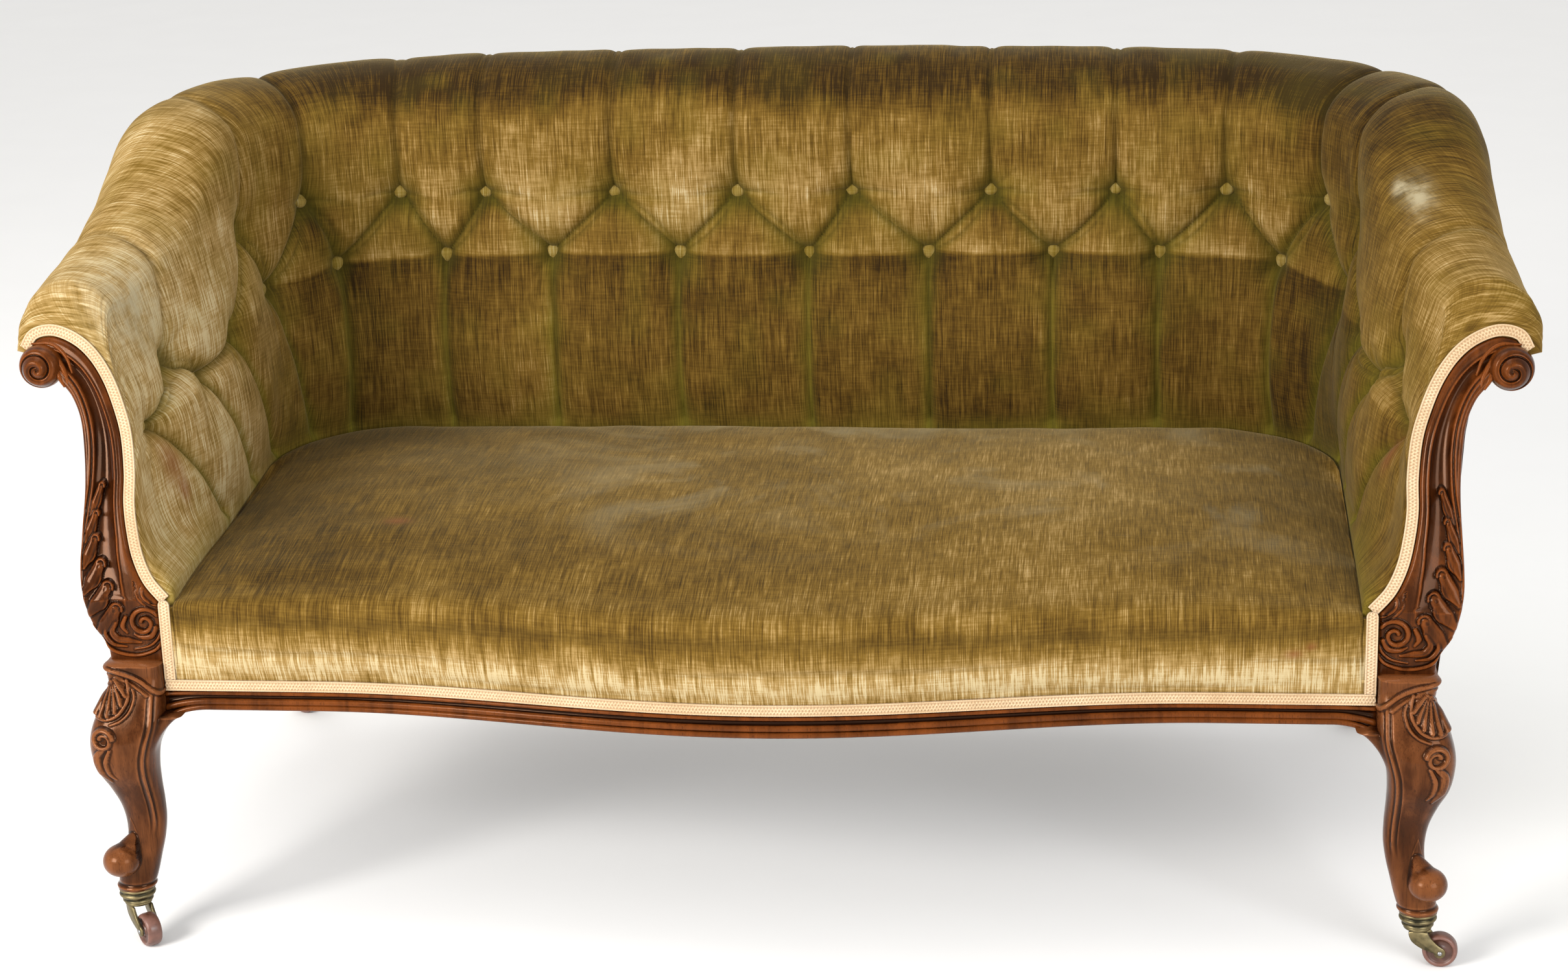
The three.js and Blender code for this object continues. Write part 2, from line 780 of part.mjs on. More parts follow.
function rearFootPlace() {
  const shoulder = wallPlace(cornerMiddle, coreInner(railBottom) + coreThickness / 2, legFoot);
  return shoulder.addScaledVector(sweepWay, rearSweep);
}

// Gimp line of a facing: from the notch beside the seat up and over the scroll
const gimpLineShares = [
  [0, 0],
  [0.11, 0.07],
  [0.18, 0.153],
  [0.22, 0.245],
  [0.245, 0.354],
  [0.245, 0.474],
  [0.27, 0.613],
  [0.325, 0.723],
  [0.4, 0.825],
  [0.5, 0.91],
  [0.62, 0.968],
  [0.77, 1],
  [0.9, 0.985],
  [0.96, 0.93],
];

function facingPoint(across, up) {
  return [gimpLineAtNotch + facingWidth * across, notchHeight + facingRise * up];
}

const gimpLine = smoothCurve(gimpLineShares.map(([across, up]) => facingPoint(across, up)));

// A point of the gimp line, moved sideways towards the wood.
function besideGimp(share, offset) {
  const point = gimpLine.getPointAt(share);
  const run = gimpLine.getTangentAt(share);
  return [point.x + run.y * offset, point.y - run.x * offset];
}

// The facing's two edges, in pairs from its base to the scroll; a share below zero is under the notch
const innerRunShares = [-1, -0.7, -0.35, 0.02, 0.1, 0.2, 0.32, 0.45, 0.58, 0.7, 0.8, 0.9, 1];
const outerAcrossShares = [0.4, 0.42, 0.51, 0.56, 0.565, 0.55, 0.54, 0.55, 0.575, 0.63, 0.7, 0.76, 0.8];
const outerUpShares = [-1, -0.714, -0.357, 0.04, 0.15, 0.29, 0.43, 0.56, 0.67, 0.75, 0.8, 0.835, 0.86];
const faceAcrossShares = [0, 0.05, 0.13, 0.19, 0.3, 0.5, 0.64, 0.72, 0.84, 0.93, 1];
const faceReliefShares = [0, 0.5, 0.5, 0, -1, -1, 0, 0.4, 0.4, -0.2, -1];
const facingStationsPerPair = 2;

function facingEdges(grow) {
  const inset = gimpWidth / 2 + softGap - grow;
  const places = innerRunShares.map((_, i) => i / (innerRunShares.length - 1));
  const inner = (share) => {
    const run = linear(places, innerRunShares, share);
    if (run < 0) return [gimpLineAtNotch + inset, mix(notchHeight - inset / 2, facingBase - grow, -run)];
    return besideGimp(run, inset);
  };
  const outer = smoothCurve(
    outerAcrossShares.map((across, i) => {
      const up = outerUpShares[i];
      const [x, z] = facingPoint(across, Math.max(0, up));
      return [x + grow, up < 0 ? mix(notchHeight, facingBase - grow, -up) : z];
    }),
  );
  return [(share) => new THREE.Vector2(...inner(share)), (share) => outer.getPoint(share)];
}

function linear(places, values, at) {
  const k = Math.max(1, places.findIndex((place) => place >= at));
  return mix(values[k - 1], values[k], (at - places[k - 1]) / (places[k] - places[k - 1]));
}

// A raked board with its moulded face: a bead along the seat side, a wide flute and a rounded
// outer ridge, closing into the ball of the scroll.
function armFacing(grow) {
  const [inner, outer] = facingEdges(grow);
  const count = (innerRunShares.length - 1) * facingStationsPerPair;
  const relief = grow ? 0 : faceRelief;
  const rings = [];
  const flats = [];
  for (const share of steps(count)) {
    const a = inner(share);
    const b = outer(share);
    const width = a.distanceTo(b);
    const front = faceAcrossShares.map((across, i) => {
      const ease = Math.min(1, width / faceReliefWidth);
      return [across, -faceReliefShares[i] * relief * ease - grow];
    });
    const section = [...front, [1, facingDepth + grow], [0, facingDepth + grow]];
    rings.push(
      section.map(([across, back]) => {
        const up = mix(a.y, b.y, across);
        return new THREE.Vector3(mix(a.x, b.x, across), faceY(up) + back, up);
      }),
    );
    flats.push(section.map(([across, back]) => [across * width, back]));
  }
  const board = solidOf(loft(rings, flats[0], flats[flats.length - 1]));
  const [ballX, ballZ] = facingPoint(scrollBallAcrossShare, scrollBallUpShare);
  const ballCentre = [ballX, faceY(ballZ) + ballSetBack, ballZ];
  const ball = roundBoss(scrollBallRadius + grow, scrollBallRadius + grow, ballCentre);
  const [voluteX, voluteZ] = facingPoint(voluteAcrossShare, voluteUpShare);
  const volute = roundBoss(voluteRadius + grow, voluteProud + grow, [voluteX, faceY(voluteZ), voluteZ]);
  const husks = grow ? [] : huskRow();
  return join(board, ball, volute, ...husks);
}

function roundBoss(radius, proud, [x, y, z]) {
  const boss = new THREE.SphereGeometry(radius, bossFacets, bossFacets - 2);
  boss.scale(1, proud / radius, 1);
  boss.translate(x, y, z);
  return solidOf(boss);
}

// Overlapping husks down the outer side of the facing, largest near the foot.
function huskRow() {
  return steps(huskCount - 1).map((share) => {
    const [x, z] = facingPoint(huskAcrossShare, mix(huskTopShare, huskFootShare, share));
    const half = mix(huskSmall, huskLarge, share);
    const husk = new THREE.SphereGeometry(1, huskFacets, huskFacets - 1);
    husk.scale(half * huskSlimShare, half * huskSlimShare, half);
    husk.translate(x, faceY(z) - half * huskProudShare, z);
    return solidOf(husk);
  });
}

// Front rail
function railFront(x) {
  const share = Math.min(1, Math.abs(x) / railBowReach);
  return railEndFront - (railBow * (1 + Math.cos(Math.PI * share))) / 2;
}

function railFoot(x) {
  const rise = railEndRise * Math.sin((Math.PI / 2) * Math.min(1, Math.abs(x) / railBowReach) ** 2);
  const past = Math.max(0, Math.abs(x) - (legInner - railEndDropReach)) / railEndDropReach;
  return railShowBottom + rise - railEndDrop * past ** 2;
}

const railStationShares = [0, 0.09, 0.18, 0.27, 0.36, 0.45, 0.54, 0.63, 0.72, 0.77, 0.82, 0.87, 0.92, 0.97];

function frontStations(reach) {
  const inside = railStationShares.map((share) => share * legInner).filter((x) => x < reach - softGap);
  const half = [...inside, reach];
  return [...half.slice(1).map((x) => -x).reverse(), ...half];
}

function frontRail() {
  const half = legInner - seatGap;
  const outlineAt = (x) => {
    const front = railFront(x);
    const foot = railFoot(x);
    const middle = mix(foot, railShowTop, railBeadShare);
    return [
      [front + railRebate, railTop],
      [front + railRebate, railShowTop],
      [front + railFilletStep, railShowTop],
      [front + railFilletStep, railShowTop - railFillet],
      [front + railCoveStep, railShowTop - railFillet],
      [front + railCoveStep, middle + railBeadRadius],
      [front, middle],
      [front, middle - railBeadRadius],
      [front + railBeadRadius / 2, foot + railBeadRadius],
      [front, foot + railBeadRadius / 2],
      [front + railBeadRadius / 2, foot],
      [front + railLipDepth, foot],
      [front + railLipDepth, railBottom],
      [front + railDepth, railBottom],
      [front + railDepth, railTop],
    ];
  };
  return loftAlongX(frontStations(half), outlineAt);
}

function loftAlongX(stations, outlineAt) {
  const outlines = stations.map(outlineAt);
  const rings = outlines.map((outline, i) => outline.map(([y, z]) => new THREE.Vector3(stations[i], y, z)));
  return loft(rings, outlines[0], outlines[outlines.length - 1]);
}

// Front leg: its inner, outer, front and back lines in shares of its width, at shares of its drop
const legSections = [
  { drop: 0, inner: 0, outer: 1.24, front: -0.42, back: legTopBackShare },
  { drop: 0.045, inner: 0, outer: 1.2, front: -0.42, back: legTopBackShare },
  { drop: 0.09, inner: 0, outer: 1.12, front: -0.5, back: 0.82 },
  { drop: 0.15, inner: 0, outer: 1.3, front: -0.66, back: 0.76 },
  { drop: 0.24, inner: 0.02, outer: 1.54, front: -0.9, back: 0.62 },
  { drop: 0.31, inner: 0.12, outer: 1.62, front: -1, back: 0.48 },
  { drop: 0.38, inner: 0.21, outer: 1.6, front: -1, back: 0.36 },
  { drop: 0.45, inner: 0.24, outer: 1.52, front: -0.92, back: 0.28 },
  { drop: 0.53, inner: 0.23, outer: 1.32, front: -0.76, back: 0.2 },
  { drop: 0.62, inner: 0.2, outer: 1.14, front: -0.62, back: 0.15 },
  { drop: 0.7, inner: 0.2, outer: 1.07, front: -0.56, back: 0.13 },
  { drop: 0.78, inner: 0.26, outer: 1.08, front: -0.58, back: 0.13 },
  { drop: 0.86, inner: 0.36, outer: 1.18, front: -0.66, back: 0.12 },
  { drop: 0.93, inner: 0.45, outer: 1.3, front: -0.7, back: 0.1 },
  { drop: 1, inner: 0.56, outer: 1.38, front: -0.74, back: 0.06 },
];

function frontLegPlace() {
  const foot = legSections[legSections.length - 1];
  const x = legInner + (legWidth * (foot.inner + foot.outer)) / 2;
  return new THREE.Vector3(x, (legWidth * (foot.front + foot.back)) / 2, legFoot);
}

function frontLeg() {
  const rings = legSections.map(({ drop, inner, outer, front, back }) => {
    const up = mix(legTop, legFoot, drop);
    const squareShare = mix(legSquareTopShare, 1, drop);
    const corner = (v) => (1 + Math.sign(v) * Math.abs(v) ** squareShare) / 2;
    return steps(legFacets).slice(1).map((share) => {
      const angle = 2 * Math.PI * share;
      const x = legInner + legWidth * mix(inner, outer, corner(Math.cos(angle)));
      return new THREE.Vector3(x, legWidth * mix(front, back, corner(Math.sin(angle))), up);
    });
  });
  const flat = (ring) => ring.map((p) => [p.x, p.y]);
  const body = solidOf(loft(rings, flat(rings[0]), flat(rings[rings.length - 1])));
  const toeCentre = [legInner + toeBallOut, toeBallFront, legFoot + toeBallLift];
  const toe = roundBoss(toeBallRadius, toeBallRadius, toeCentre);
  return join(body, toe);
}

// Seat padding: crowned, with a rounded front edge and a border that falls to the gimp
const seatDepthShares = [0.06, 0.14, 0.28, 0.46, 0.66, 0.84, 0.95];
const seatCrownShares = [0.3, 0.55, 0.85, 1, 0.9, 0.62, 0.25];

function tackingFace(x) {
  return railFront(x) + railRebate;
}

function seatBackAt(x) {
  const past = Math.max(0, Math.abs(x) - straightBack);
  const reach = cornerRadius - creaseGap;
  return cornerCentreY + Math.sqrt(Math.max(0, reach ** 2 - past ** 2));
}

function seatOutlineAt(x, halfWidth, back) {
  const tacked = tackingFace(x) - seatGap;
  const border = tacked - seatBorderStep;
  const edgeShare = 1 - (Math.abs(x) / halfWidth) ** seatSquareness;
  const bulge = seatFrontBulge * mix(seatEndBulgeShare, 1, edgeShare);
  const edge = mix(notchHeight, seatFrontEdge, edgeShare);
  const crown = mix(seatLine - softGap, seatCrown, edgeShare);
  const low = railShowTop + gimpWidth;
  const [full, middle, high] = seatBorderShares.map((share) => mix(low, edge, share));
  const front = [
    [tacked, railShowTop + seatGap],
    [border, railShowTop + seatGap],
    [border, low + seatGap],
    [border - bulge / 2, full],
    [border - bulge, middle],
    [border - bulge, high],
    [border - bulge / 2, edge],
  ];
  const top = seatDepthShares.map((share, i) => {
    const y = mix(border, back, share);
    const base = mix(edge, seatBackEdge, share);
    return [y, base + (crown - base) * seatCrownShares[i]];
  });
  return [...front, ...top, [back, seatBackEdge], [back, padBottom], [tacked, padBottom]];
}

function seatPad() {
  const half = seatHalfWidth - creaseGap;
  const whole = solidOf(loftAlongX(frontStations(half), (x) => seatOutlineAt(x, half, seatBackAt(x))));
  const reach = gimpLineAtNotch + gimpWidth / 2;
  const corners = [
    [-reach, cutOverrun - half],
    [half - cutOverrun, reach],
  ];
  return geometryOf(join(whole, ...corners.map((ends) => seatCorner(half, ends))));
}

// The seat's front corners reach past the arms to the gimp beside each facing.
function seatCorner(half, ends) {
  const front = tackingFace(half) - seatGap - seatBorderStep;
  const top = notchHeight - gimpWidth / 2;
  const outline = seatOutlineAt(half, half, facingDepth - softGap);
  return solidOf(loftAlongX(ends, () => outline.map(([y, z]) => [Math.max(y, front), Math.min(z, top)])));
}

// Cloth and springs of the seat

// Plan of a sheet nailed to the seat frame: it follows the wall, is notched at the front legs
// and curves along the front rail.
function sheet(behindRail, low, thickness) {
  const notchX = legInner - softGap;
  const notchY = facingDepth + creaseGap + softGap;
  const wallEnd = armStart + cornerCentreY - notchY;
  const right = stopsBetween(0, wallEnd).map((along) => wallPlace(along, seatSheetOut, 0));
  right.push(new THREE.Vector3(notchX, notchY, 0));
  const front = frontStations(notchX).map((x) => new THREE.Vector3(x, railFront(x) + behindRail, 0));
  const left = right.slice(1).map((p) => new THREE.Vector3(-p.x, p.y, 0)).reverse();
  const shape = new THREE.Shape();
  const outline = [...right, ...front.reverse(), ...left];
  outline.forEach((p, i) => (i ? shape.lineTo(p.x, p.y) : shape.moveTo(p.x, p.y)));
  const geometry = new THREE.ExtrudeGeometry(shape, { depth: thickness, bevelEnabled: false });
  geometry.translate(0, 0, low);
  return geometry;
}

function seatRailOuter() {
  return coreInner(railBottom) + coreThickness - seatGap;
}

// Double-cone spring: one unbroken wire from the webbing up to the hessian.
function spring(x, y, low, high) {
  const turns = springTurns * 2 * Math.PI;
  class Coil extends THREE.Curve {
    getPoint(share, target = new THREE.Vector3()) {
      const waist = mix(springEndRadius, springWaistRadius, Math.sin(Math.PI * share));
      const angle = turns * share;
      const rise = share - Math.sin(2 * Math.PI * share) * springEndLayShare;
      return target.set(x + waist * Math.cos(angle), y + waist * Math.sin(angle), mix(low, high, rise));
    }
  }
  const section = new THREE.Shape();
  steps(springSides).slice(1).forEach((share, i) => {
    const [u, v] = [Math.cos(2 * Math.PI * share), Math.sin(2 * Math.PI * share)];
    const point = [(u * springWire) / 2, (v * springWire) / 2];
    if (i) section.lineTo(...point);
    else section.moveTo(...point);
  });
  const run = { steps: springTurns * springSteps, extrudePath: new Coil(), bevelEnabled: false };
  return new THREE.ExtrudeGeometry(section, run);
}

// Strained webbing under the seat rails with the springs sewn to it.
function sprungWebbing() {
  const top = railBottom - seatGap;
  const inside = solidOf(sheet(railDepth * sheetLandShare, top - webbingThickness, webbingThickness));
  const spread = seatHalfWidth * springSpreadShare;
  const places = steps(springColumns - 1).map((share) => mix(-spread, spread, share));
  const depthShare = (share) => mix(springFrontShare, springBackShare, share);
  const rows = steps(springRows - 1).map((share) => seatBackLine * depthShare(share));
  const half = webbingWidth / 2;
  const far = seatHalfWidth + coreOut + coreThickness;
  const near = -railDepth - railBow;
  const deep = seatBackLine + coreOut + coreThickness;
  const strap = (x0, x1, y0, y1) => solidOf(box(x0, x1, y0, y1, top - webbingThickness, top));
  const lengthwise = places.map((x) => strap(x - half, x + half, near, deep));
  const crosswise = rows.map((y) => strap(-far, far, y - half, y + half));
  const webbing = join(...lengthwise, ...crosswise).intersect(inside);
  const low = top + springWire / 2 - springSeatSink;
  const high = railTop - springWire / 2;
  const springs = places.flatMap((x) => rows.map((y) => solidOf(spring(x, y, low, high))));
  return geometryOf(join(webbing, ...springs));
}

// Glue block across an inner corner of the seat frame.
function rearCornerBlock() {
  const inner = seatRailOuter() - railThickness - seatGap;
  return block(stopsBetween(blockStart, blockEnd).map((along) => wallPlace(along, inner, 0)));
}

// Glue block behind a front leg, notched round it.
function frontCornerBlock() {
  const outerX = seatHalfWidth + seatRailOuter() - railThickness - seatGap;
  const legX = legInner - seatGap;
  const railY = railEndFront + railDepth + seatGap;
  const legY = facingDepth + creaseGap;
  const reach = blockReach / 2;
  const outline = [
    [outerX - reach, railY],
    [legX, railY],
    [legX, legY],
    [outerX, legY],
    [outerX, legY + reach],
  ];
  return block(outline.map(([x, y]) => new THREE.Vector3(x, y, 0)));
}

function block(outline) {
  const shape = new THREE.Shape();
  outline.forEach((p, i) => (i ? shape.lineTo(p.x, p.y) : shape.moveTo(p.x, p.y)));
  const geometry = new THREE.ExtrudeGeometry(shape, { depth: blockHeight, bevelEnabled: false });
  geometry.translate(0, 0, railBottom + blockLift);
  return geometry;
}

// Braid

function seatGimp() {
  const reach = gimpLineAtNotch + gimpWidth / 2 - seatGap;
  const low = railShowTop + seatGap;
  const strip = (height) => (x) => {
    const back = tackingFace(x) - seatBorderStep - 2 * seatGap;
    return [
      [back, low],
      [back - gimpThickness, low],
      [back - gimpThickness, height],
      [back, height],
    ];
  };
  const foot = loftAlongX(frontStations(reach), strip(low + gimpWidth - 2 * seatGap));
  const upright = (side) => {
    const ends = [side * (reach - gimpWidth + seatGap), side * reach].sort((a, b) => a - b);
    return solidOf(loftAlongX(ends, strip(notchHeight - gimpWidth / 2)));
  };
  return geometryOf(join(solidOf(foot), upright(-1), upright(1)));
}

function armGimp(facing) {
  const half = gimpWidth / 2 - seatGap;
  const section = [
    [-half, 0],
    [half, 0],
    [half, gimpThickness],
    [-half, gimpThickness],
  ];
  const rings = steps(gimpStations).map((share) =>
    section.map(([offset, back]) => {
      const [x, z] = besideGimp(share, offset);
      return new THREE.Vector3(x, faceY(z) + back, z);
    }),
  );
  const strip = solidOf(loft(rings, section, section));
  return geometryOf(mainBody(cut(strip, facing)));
}

// Castors

function disc(radius, low, high, facets) {
  const geometry = new THREE.CylinderGeometry(radius, radius, high - low, facets);
  geometry.rotateX(Math.PI / 2);
  geometry.translate(0, 0, (low + high) / 2);
  return geometry;
}

function turned(profile, facets) {
  const geometry = new THREE.LatheGeometry(profile.map(([r, z]) => new THREE.Vector2(r, z)), facets);
  geometry.rotateX(Math.PI / 2);
  return facingOutSolid(geometry);
}

function facingOutSolid(geometry) {
  const solid = solidOf(geometry);
  if (solid.volume() > 0) return geometryOf(solid);
  const faces = geometry.index.array;
  for (let i = 0; i < faces.length; i += 3) [faces[i + 1], faces[i + 2]] = [faces[i + 2], faces[i + 1]];
  return geometryOf(solidOf(geometry));
}

const collarBottom = castorTop - collarHeight;
const axleUp = wheelRadius * Math.cos(Math.PI / wheelFacets);

function collar() {
  const bore = pintleRadius + runningGap;
  const step = collarHeight * collarStepShare;
  const profile = [
    [bore, collarBottom],
    [collarRadius * collarNeckShare, collarBottom],
    [collarRadius * collarNeckShare, collarBottom + step],
    [collarRadius, collarBottom + step * 2],
    [collarRadius, castorTop],
    [bore, castorTop],
    [bore, collarBottom],
  ];
  return turned(profile, roundFacets);
}

// Fork of a castor, trailing along +X: a disc with its pintle above and two cheeks below.
function horn() {
  const discTop = collarBottom - seatGap;
  const discLow = discTop - hornDiscThickness;
  const parts = [solidOf(disc(hornDiscRadius, discLow, discTop, roundFacets))];
  parts.push(solidOf(disc(pintleRadius, discTop - cutOverrun, discTop + pintleLength, pintleFacets)));
  const cheek = new THREE.Shape();
  cheek.moveTo(-hornNeckRadius, discLow + cutOverrun / 2);
  cheek.quadraticCurveTo(-hornNeckRadius, axleUp + hornBossRadius, castorTrail - hornBossRadius, axleUp);
  cheek.absarc(castorTrail, axleUp, hornBossRadius, Math.PI, 2 * Math.PI + Math.PI / 4, false);
  cheek.quadraticCurveTo(hornDiscRadius, discLow - cutOverrun, hornNeckRadius, discLow + cutOverrun / 2);
  const between = wheelWidth / 2 + runningGap;
  for (const side of [-1, 1]) {
    const extrusion = { depth: hornCheek, bevelEnabled: false, curveSegments: cheekSegments };
    const plate = new THREE.ExtrudeGeometry(cheek, extrusion);
    plate.rotateX(Math.PI / 2);
    plate.translate(0, side > 0 ? between + hornCheek : -between, 0);
    parts.push(solidOf(plate));
  }
  const bore = axle(axleRadius + seatGap, wheelWidth + 4 * hornCheek + cutOverrun);
  return geometryOf(cut(join(...parts), solidOf(bore)));
}

function axle(radius, length) {
  const pin = new THREE.CylinderGeometry(radius, radius, length, pintleFacets);
  pin.translate(castorTrail, 0, axleUp);
  return pin;
}

function wheel() {
  const half = wheelWidth / 2;
  const bore = axleRadius + runningGap;
  const profile = [
    [bore, -half],
    [wheelRadius - wheelRound, -half],
    [wheelRadius, wheelRound - half],
    [wheelRadius, half - wheelRound],
    [wheelRadius - wheelRound, half],
    [bore, half],
    [bore, -half],
  ];
  const geometry = turned(profile, wheelFacets);
  geometry.rotateX(Math.PI / 2);
  geometry.rotateY(Math.PI / wheelFacets + Math.PI / 2);
  geometry.translate(castorTrail, 0, axleUp);
  return geometry;
}

const castorTurns = { front_left: -50, front_right: -5, rear_left: 160, rear_right: 25 };

function castorPlaces() {
  const front = frontLegPlace();
  const rear = rearFootPlace();
  return {
    front_left: [-front.x, front.y],
    front_right: [front.x, front.y],
    rear_left: [-rear.x, rear.y],
    rear_right: [rear.x, rear.y],
  };
}

function addCastors(parent) {
  for (const [corner, [x, y]] of Object.entries(castorPlaces())) {
    const castor = new THREE.Group();
    castor.position.set(x, y, 0);
    castor.rotation.z = THREE.MathUtils.degToRad(castorTurns[corner]);
    parent.add(castor);
    addMesh(castor, `${corner}_castor_collar`, collar(), brass);
    addMesh(castor, `${corner}_castor_horn`, horn(), brass);
    const length = wheelWidth + 2 * (hornCheek + runningGap) + cutOverrun;
    addMesh(castor, `${corner}_castor_axle`, axle(axleRadius, length), steel);
    addMesh(castor, `${corner}_castor_wheel`, wheel(), wheelBrown);
  }
}

// One piece and its mirror image across the middle of the sofa.
function addPair(parent, name, geometry, look) {
  addMesh(parent, `right_${name}`, geometry, look);
  addMesh(parent, `left_${name}`, geometry, look).scale.x = -1;
}

function addShowWood(parent) {
  addMesh(parent, "front_rail", frontRail(), wood);
  addPair(parent, "front_leg", geometryOf(frontLeg()), wood);
  addPair(parent, "arm_facing", geometryOf(armFacing(0)), wood);
  addPair(parent, "rear_leg", rearLeg(), wood);
}

function addCore(parent) {
  addMesh(parent, "back_seat_rail", acrossBack(seatRailOutline), beech);
  addPair(parent, "side_seat_rail", alongArm(seatRailOutline), beech);
  addMesh(parent, "back_top_rail", acrossBack(topRailOutline), beech);
  addPair(parent, "arm_rail", alongArm(topRailOutline), beech);
  addMesh(parent, "back_stuffing_rail", acrossBack(stuffingRailOutline), beech);
  addPair(parent, "arm_stuffing_rail", alongArm(stuffingRailOutline), beech);
  addMesh(parent, "back_centre_post", centrePost(), beech);
  addPair(parent, "rear_corner_block", rearCornerBlock(), beech);
  addPair(parent, "front_corner_block", frontCornerBlock(), beech);
}

function centrePost() {
  const low = stuffingRailLow + stuffingRailHeight + seatGap;
  const high = wallShape(0).coreTop - wallRailHeight - softGap;
  return wallBeam(-rearLegWidth / 2, rearLegWidth / 2, () => coreOutline(low, high, 0));
}

function addUpholstery(parent) {
  addMesh(parent, "seat_webbing_and_springs", sprungWebbing(), jute);
  const behindRail = railDepth * sheetLandShare;
  const dust = railBottom - webbingThickness - 2 * seatGap - dustCoverThickness;
  addMesh(parent, "seat_hessian", sheet(behindRail, railTop + seatGap, hessianThickness), jute);
  addMesh(parent, "dust_cover", sheet(behindRail, dust, dustCoverThickness), darkCloth);
  addMesh(parent, "back_hessian", acrossBack(hessianOutline), jute);
  addPair(parent, "arm_hessian", alongArm(hessianOutline), jute);
  const facing = armFacing(seatGap);
  addMesh(parent, "seat_pad", seatPad(), velvet);
  addMesh(parent, "back_pad", backPad(), velvet);
  addPair(parent, "arm_pad", armPad(facing), velvet);
  addMesh(parent, "outside_back_cover", wallBeam(-postEnd, postEnd, coverOutline), paleCloth);
  addPair(parent, "outside_arm_cover", alongArm(coverOutline), paleCloth);
  addMesh(parent, "seat_front_gimp", seatGimp(), braid);
  addPair(parent, "arm_gimp", armGimp(facing), braid);
}

const model = new THREE.Group();
addShowWood(model);
addCore(model);
addUpholstery(model);
addCastors(model);

// The origin lies on the floor, under the middle of the whole sofa.
const bounds = new THREE.Box3().setFromObject(model);
const middle = bounds.getCenter(new THREE.Vector3());
model.position.set(-middle.x, -middle.y, -bounds.min.z);
sofa.add(model);

export default sofa;
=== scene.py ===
"""A button-back sofa: velvet, carved show wood, braid and castors over the fixed frame.

Sizes are in millimetres in the sofa's own frame: x from the middle to the right, y back from the
front plane of the arm facings at the seat, z up from the floor. They turn into metres, and move
to the part's frame, where a mesh is made.
"""

import json
import math

import bmesh
import bpy
import numpy as np
from mathutils import Matrix, Vector


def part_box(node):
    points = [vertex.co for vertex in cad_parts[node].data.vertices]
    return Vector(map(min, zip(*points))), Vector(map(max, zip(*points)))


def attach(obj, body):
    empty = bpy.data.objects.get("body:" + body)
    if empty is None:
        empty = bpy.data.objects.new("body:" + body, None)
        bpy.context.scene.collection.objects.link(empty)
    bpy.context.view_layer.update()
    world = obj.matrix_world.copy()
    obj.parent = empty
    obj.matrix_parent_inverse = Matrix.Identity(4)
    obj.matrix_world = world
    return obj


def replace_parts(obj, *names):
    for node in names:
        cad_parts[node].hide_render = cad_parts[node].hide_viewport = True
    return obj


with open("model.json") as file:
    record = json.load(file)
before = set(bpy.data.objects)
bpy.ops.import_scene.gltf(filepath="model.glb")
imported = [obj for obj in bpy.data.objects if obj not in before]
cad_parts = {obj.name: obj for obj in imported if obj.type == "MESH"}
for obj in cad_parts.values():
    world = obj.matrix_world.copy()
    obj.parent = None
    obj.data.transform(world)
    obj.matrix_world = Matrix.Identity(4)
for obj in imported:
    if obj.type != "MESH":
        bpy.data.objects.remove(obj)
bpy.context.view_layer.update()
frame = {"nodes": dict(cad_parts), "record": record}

MM = 0.001
FRONT_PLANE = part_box("right_arm_gimp")[0][1]
BODY = "sofa"
SIDE_NAMES = {-1: "left", 1: "right"}

# Seat and wall
BACK_CREST = 863.0
ARM_CREST = 704.0
SEAT_HALF_WIDTH = 632.0
SEAT_BACK_LINE = 582.0
CORNER_RADIUS = 157.0
SEAT_LINE = 405.0
RAIL_TOP = 336.0
RAIL_BOTTOM = 268.0
PAD_BOTTOM = 338.6
CORE_OUT = 52.0
CORE_THICKNESS = 30.0
CORE_LEAN_SHARE = 0.1
CORE_BELOW_CREST = 77.0
ARM_RAIL_SWELL = 12.0
CLEARANCE = 0.6

# Arm facing and braid
NOTCH_HEIGHT = 391.0
FACING_RAKE_SHARE = 0.35
FACING_DEPTH = 42.0
FACING_BASE = 322.0
SCROLL_TOP = 665.0
SCROLL_REACH = 805.0
BALL_RADIUS = 24.0
BALL_PLACE = (780.0, 628.0)
GIMP_WIDTH = 13.0
GIMP_THICKNESS = 2.4
GIMP_AT_NOTCH = 640.0

# Front rail
RAIL_SHOW_TOP = 288.5
RAIL_SHOW_BOTTOM = 264.0
RAIL_REBATE = 10.0
RAIL_END_FRONT = -8.0
RAIL_BOW = 52.0
RAIL_BOW_REACH = 480.3
LEG_INNER = 647.0

STRAIGHT_BACK = SEAT_HALF_WIDTH - CORNER_RADIUS
CORNER_LENGTH = CORNER_RADIUS * math.pi / 2
ARM_START = STRAIGHT_BACK + CORNER_LENGTH
CORNER_CENTRE_Y = SEAT_BACK_LINE - CORNER_RADIUS
CORNER_MIDDLE = STRAIGHT_BACK + CORNER_LENGTH / 2
CORNER_MIDDLE_SHARE = 0.57


def mix(a, b, share):
    """The value a share of the way from a to b."""
    return a + (b - a) * share


def held(value):
    """A value held between 0 and 1."""
    return np.clip(value, 0, 1)


def bell(away, width):
    """1 at no distance, and less on both sides the further away."""
    return np.exp(-((away / width) ** 2))


def units(vectors):
    """The same directions, each of length one."""
    return vectors / np.linalg.norm(vectors, axis=-1, keepdims=True)


def way_along(points):
    """How far along a line each of its points lies."""
    return np.concatenate([[0], np.cumsum(np.linalg.norm(np.diff(points, axis=0), axis=1))])


def at_lengths(spots, lengths, points):
    """The places at some lengths along a line."""
    return np.stack([np.interp(spots, lengths, points[:, k]) for k in range(points.shape[1])], 1)


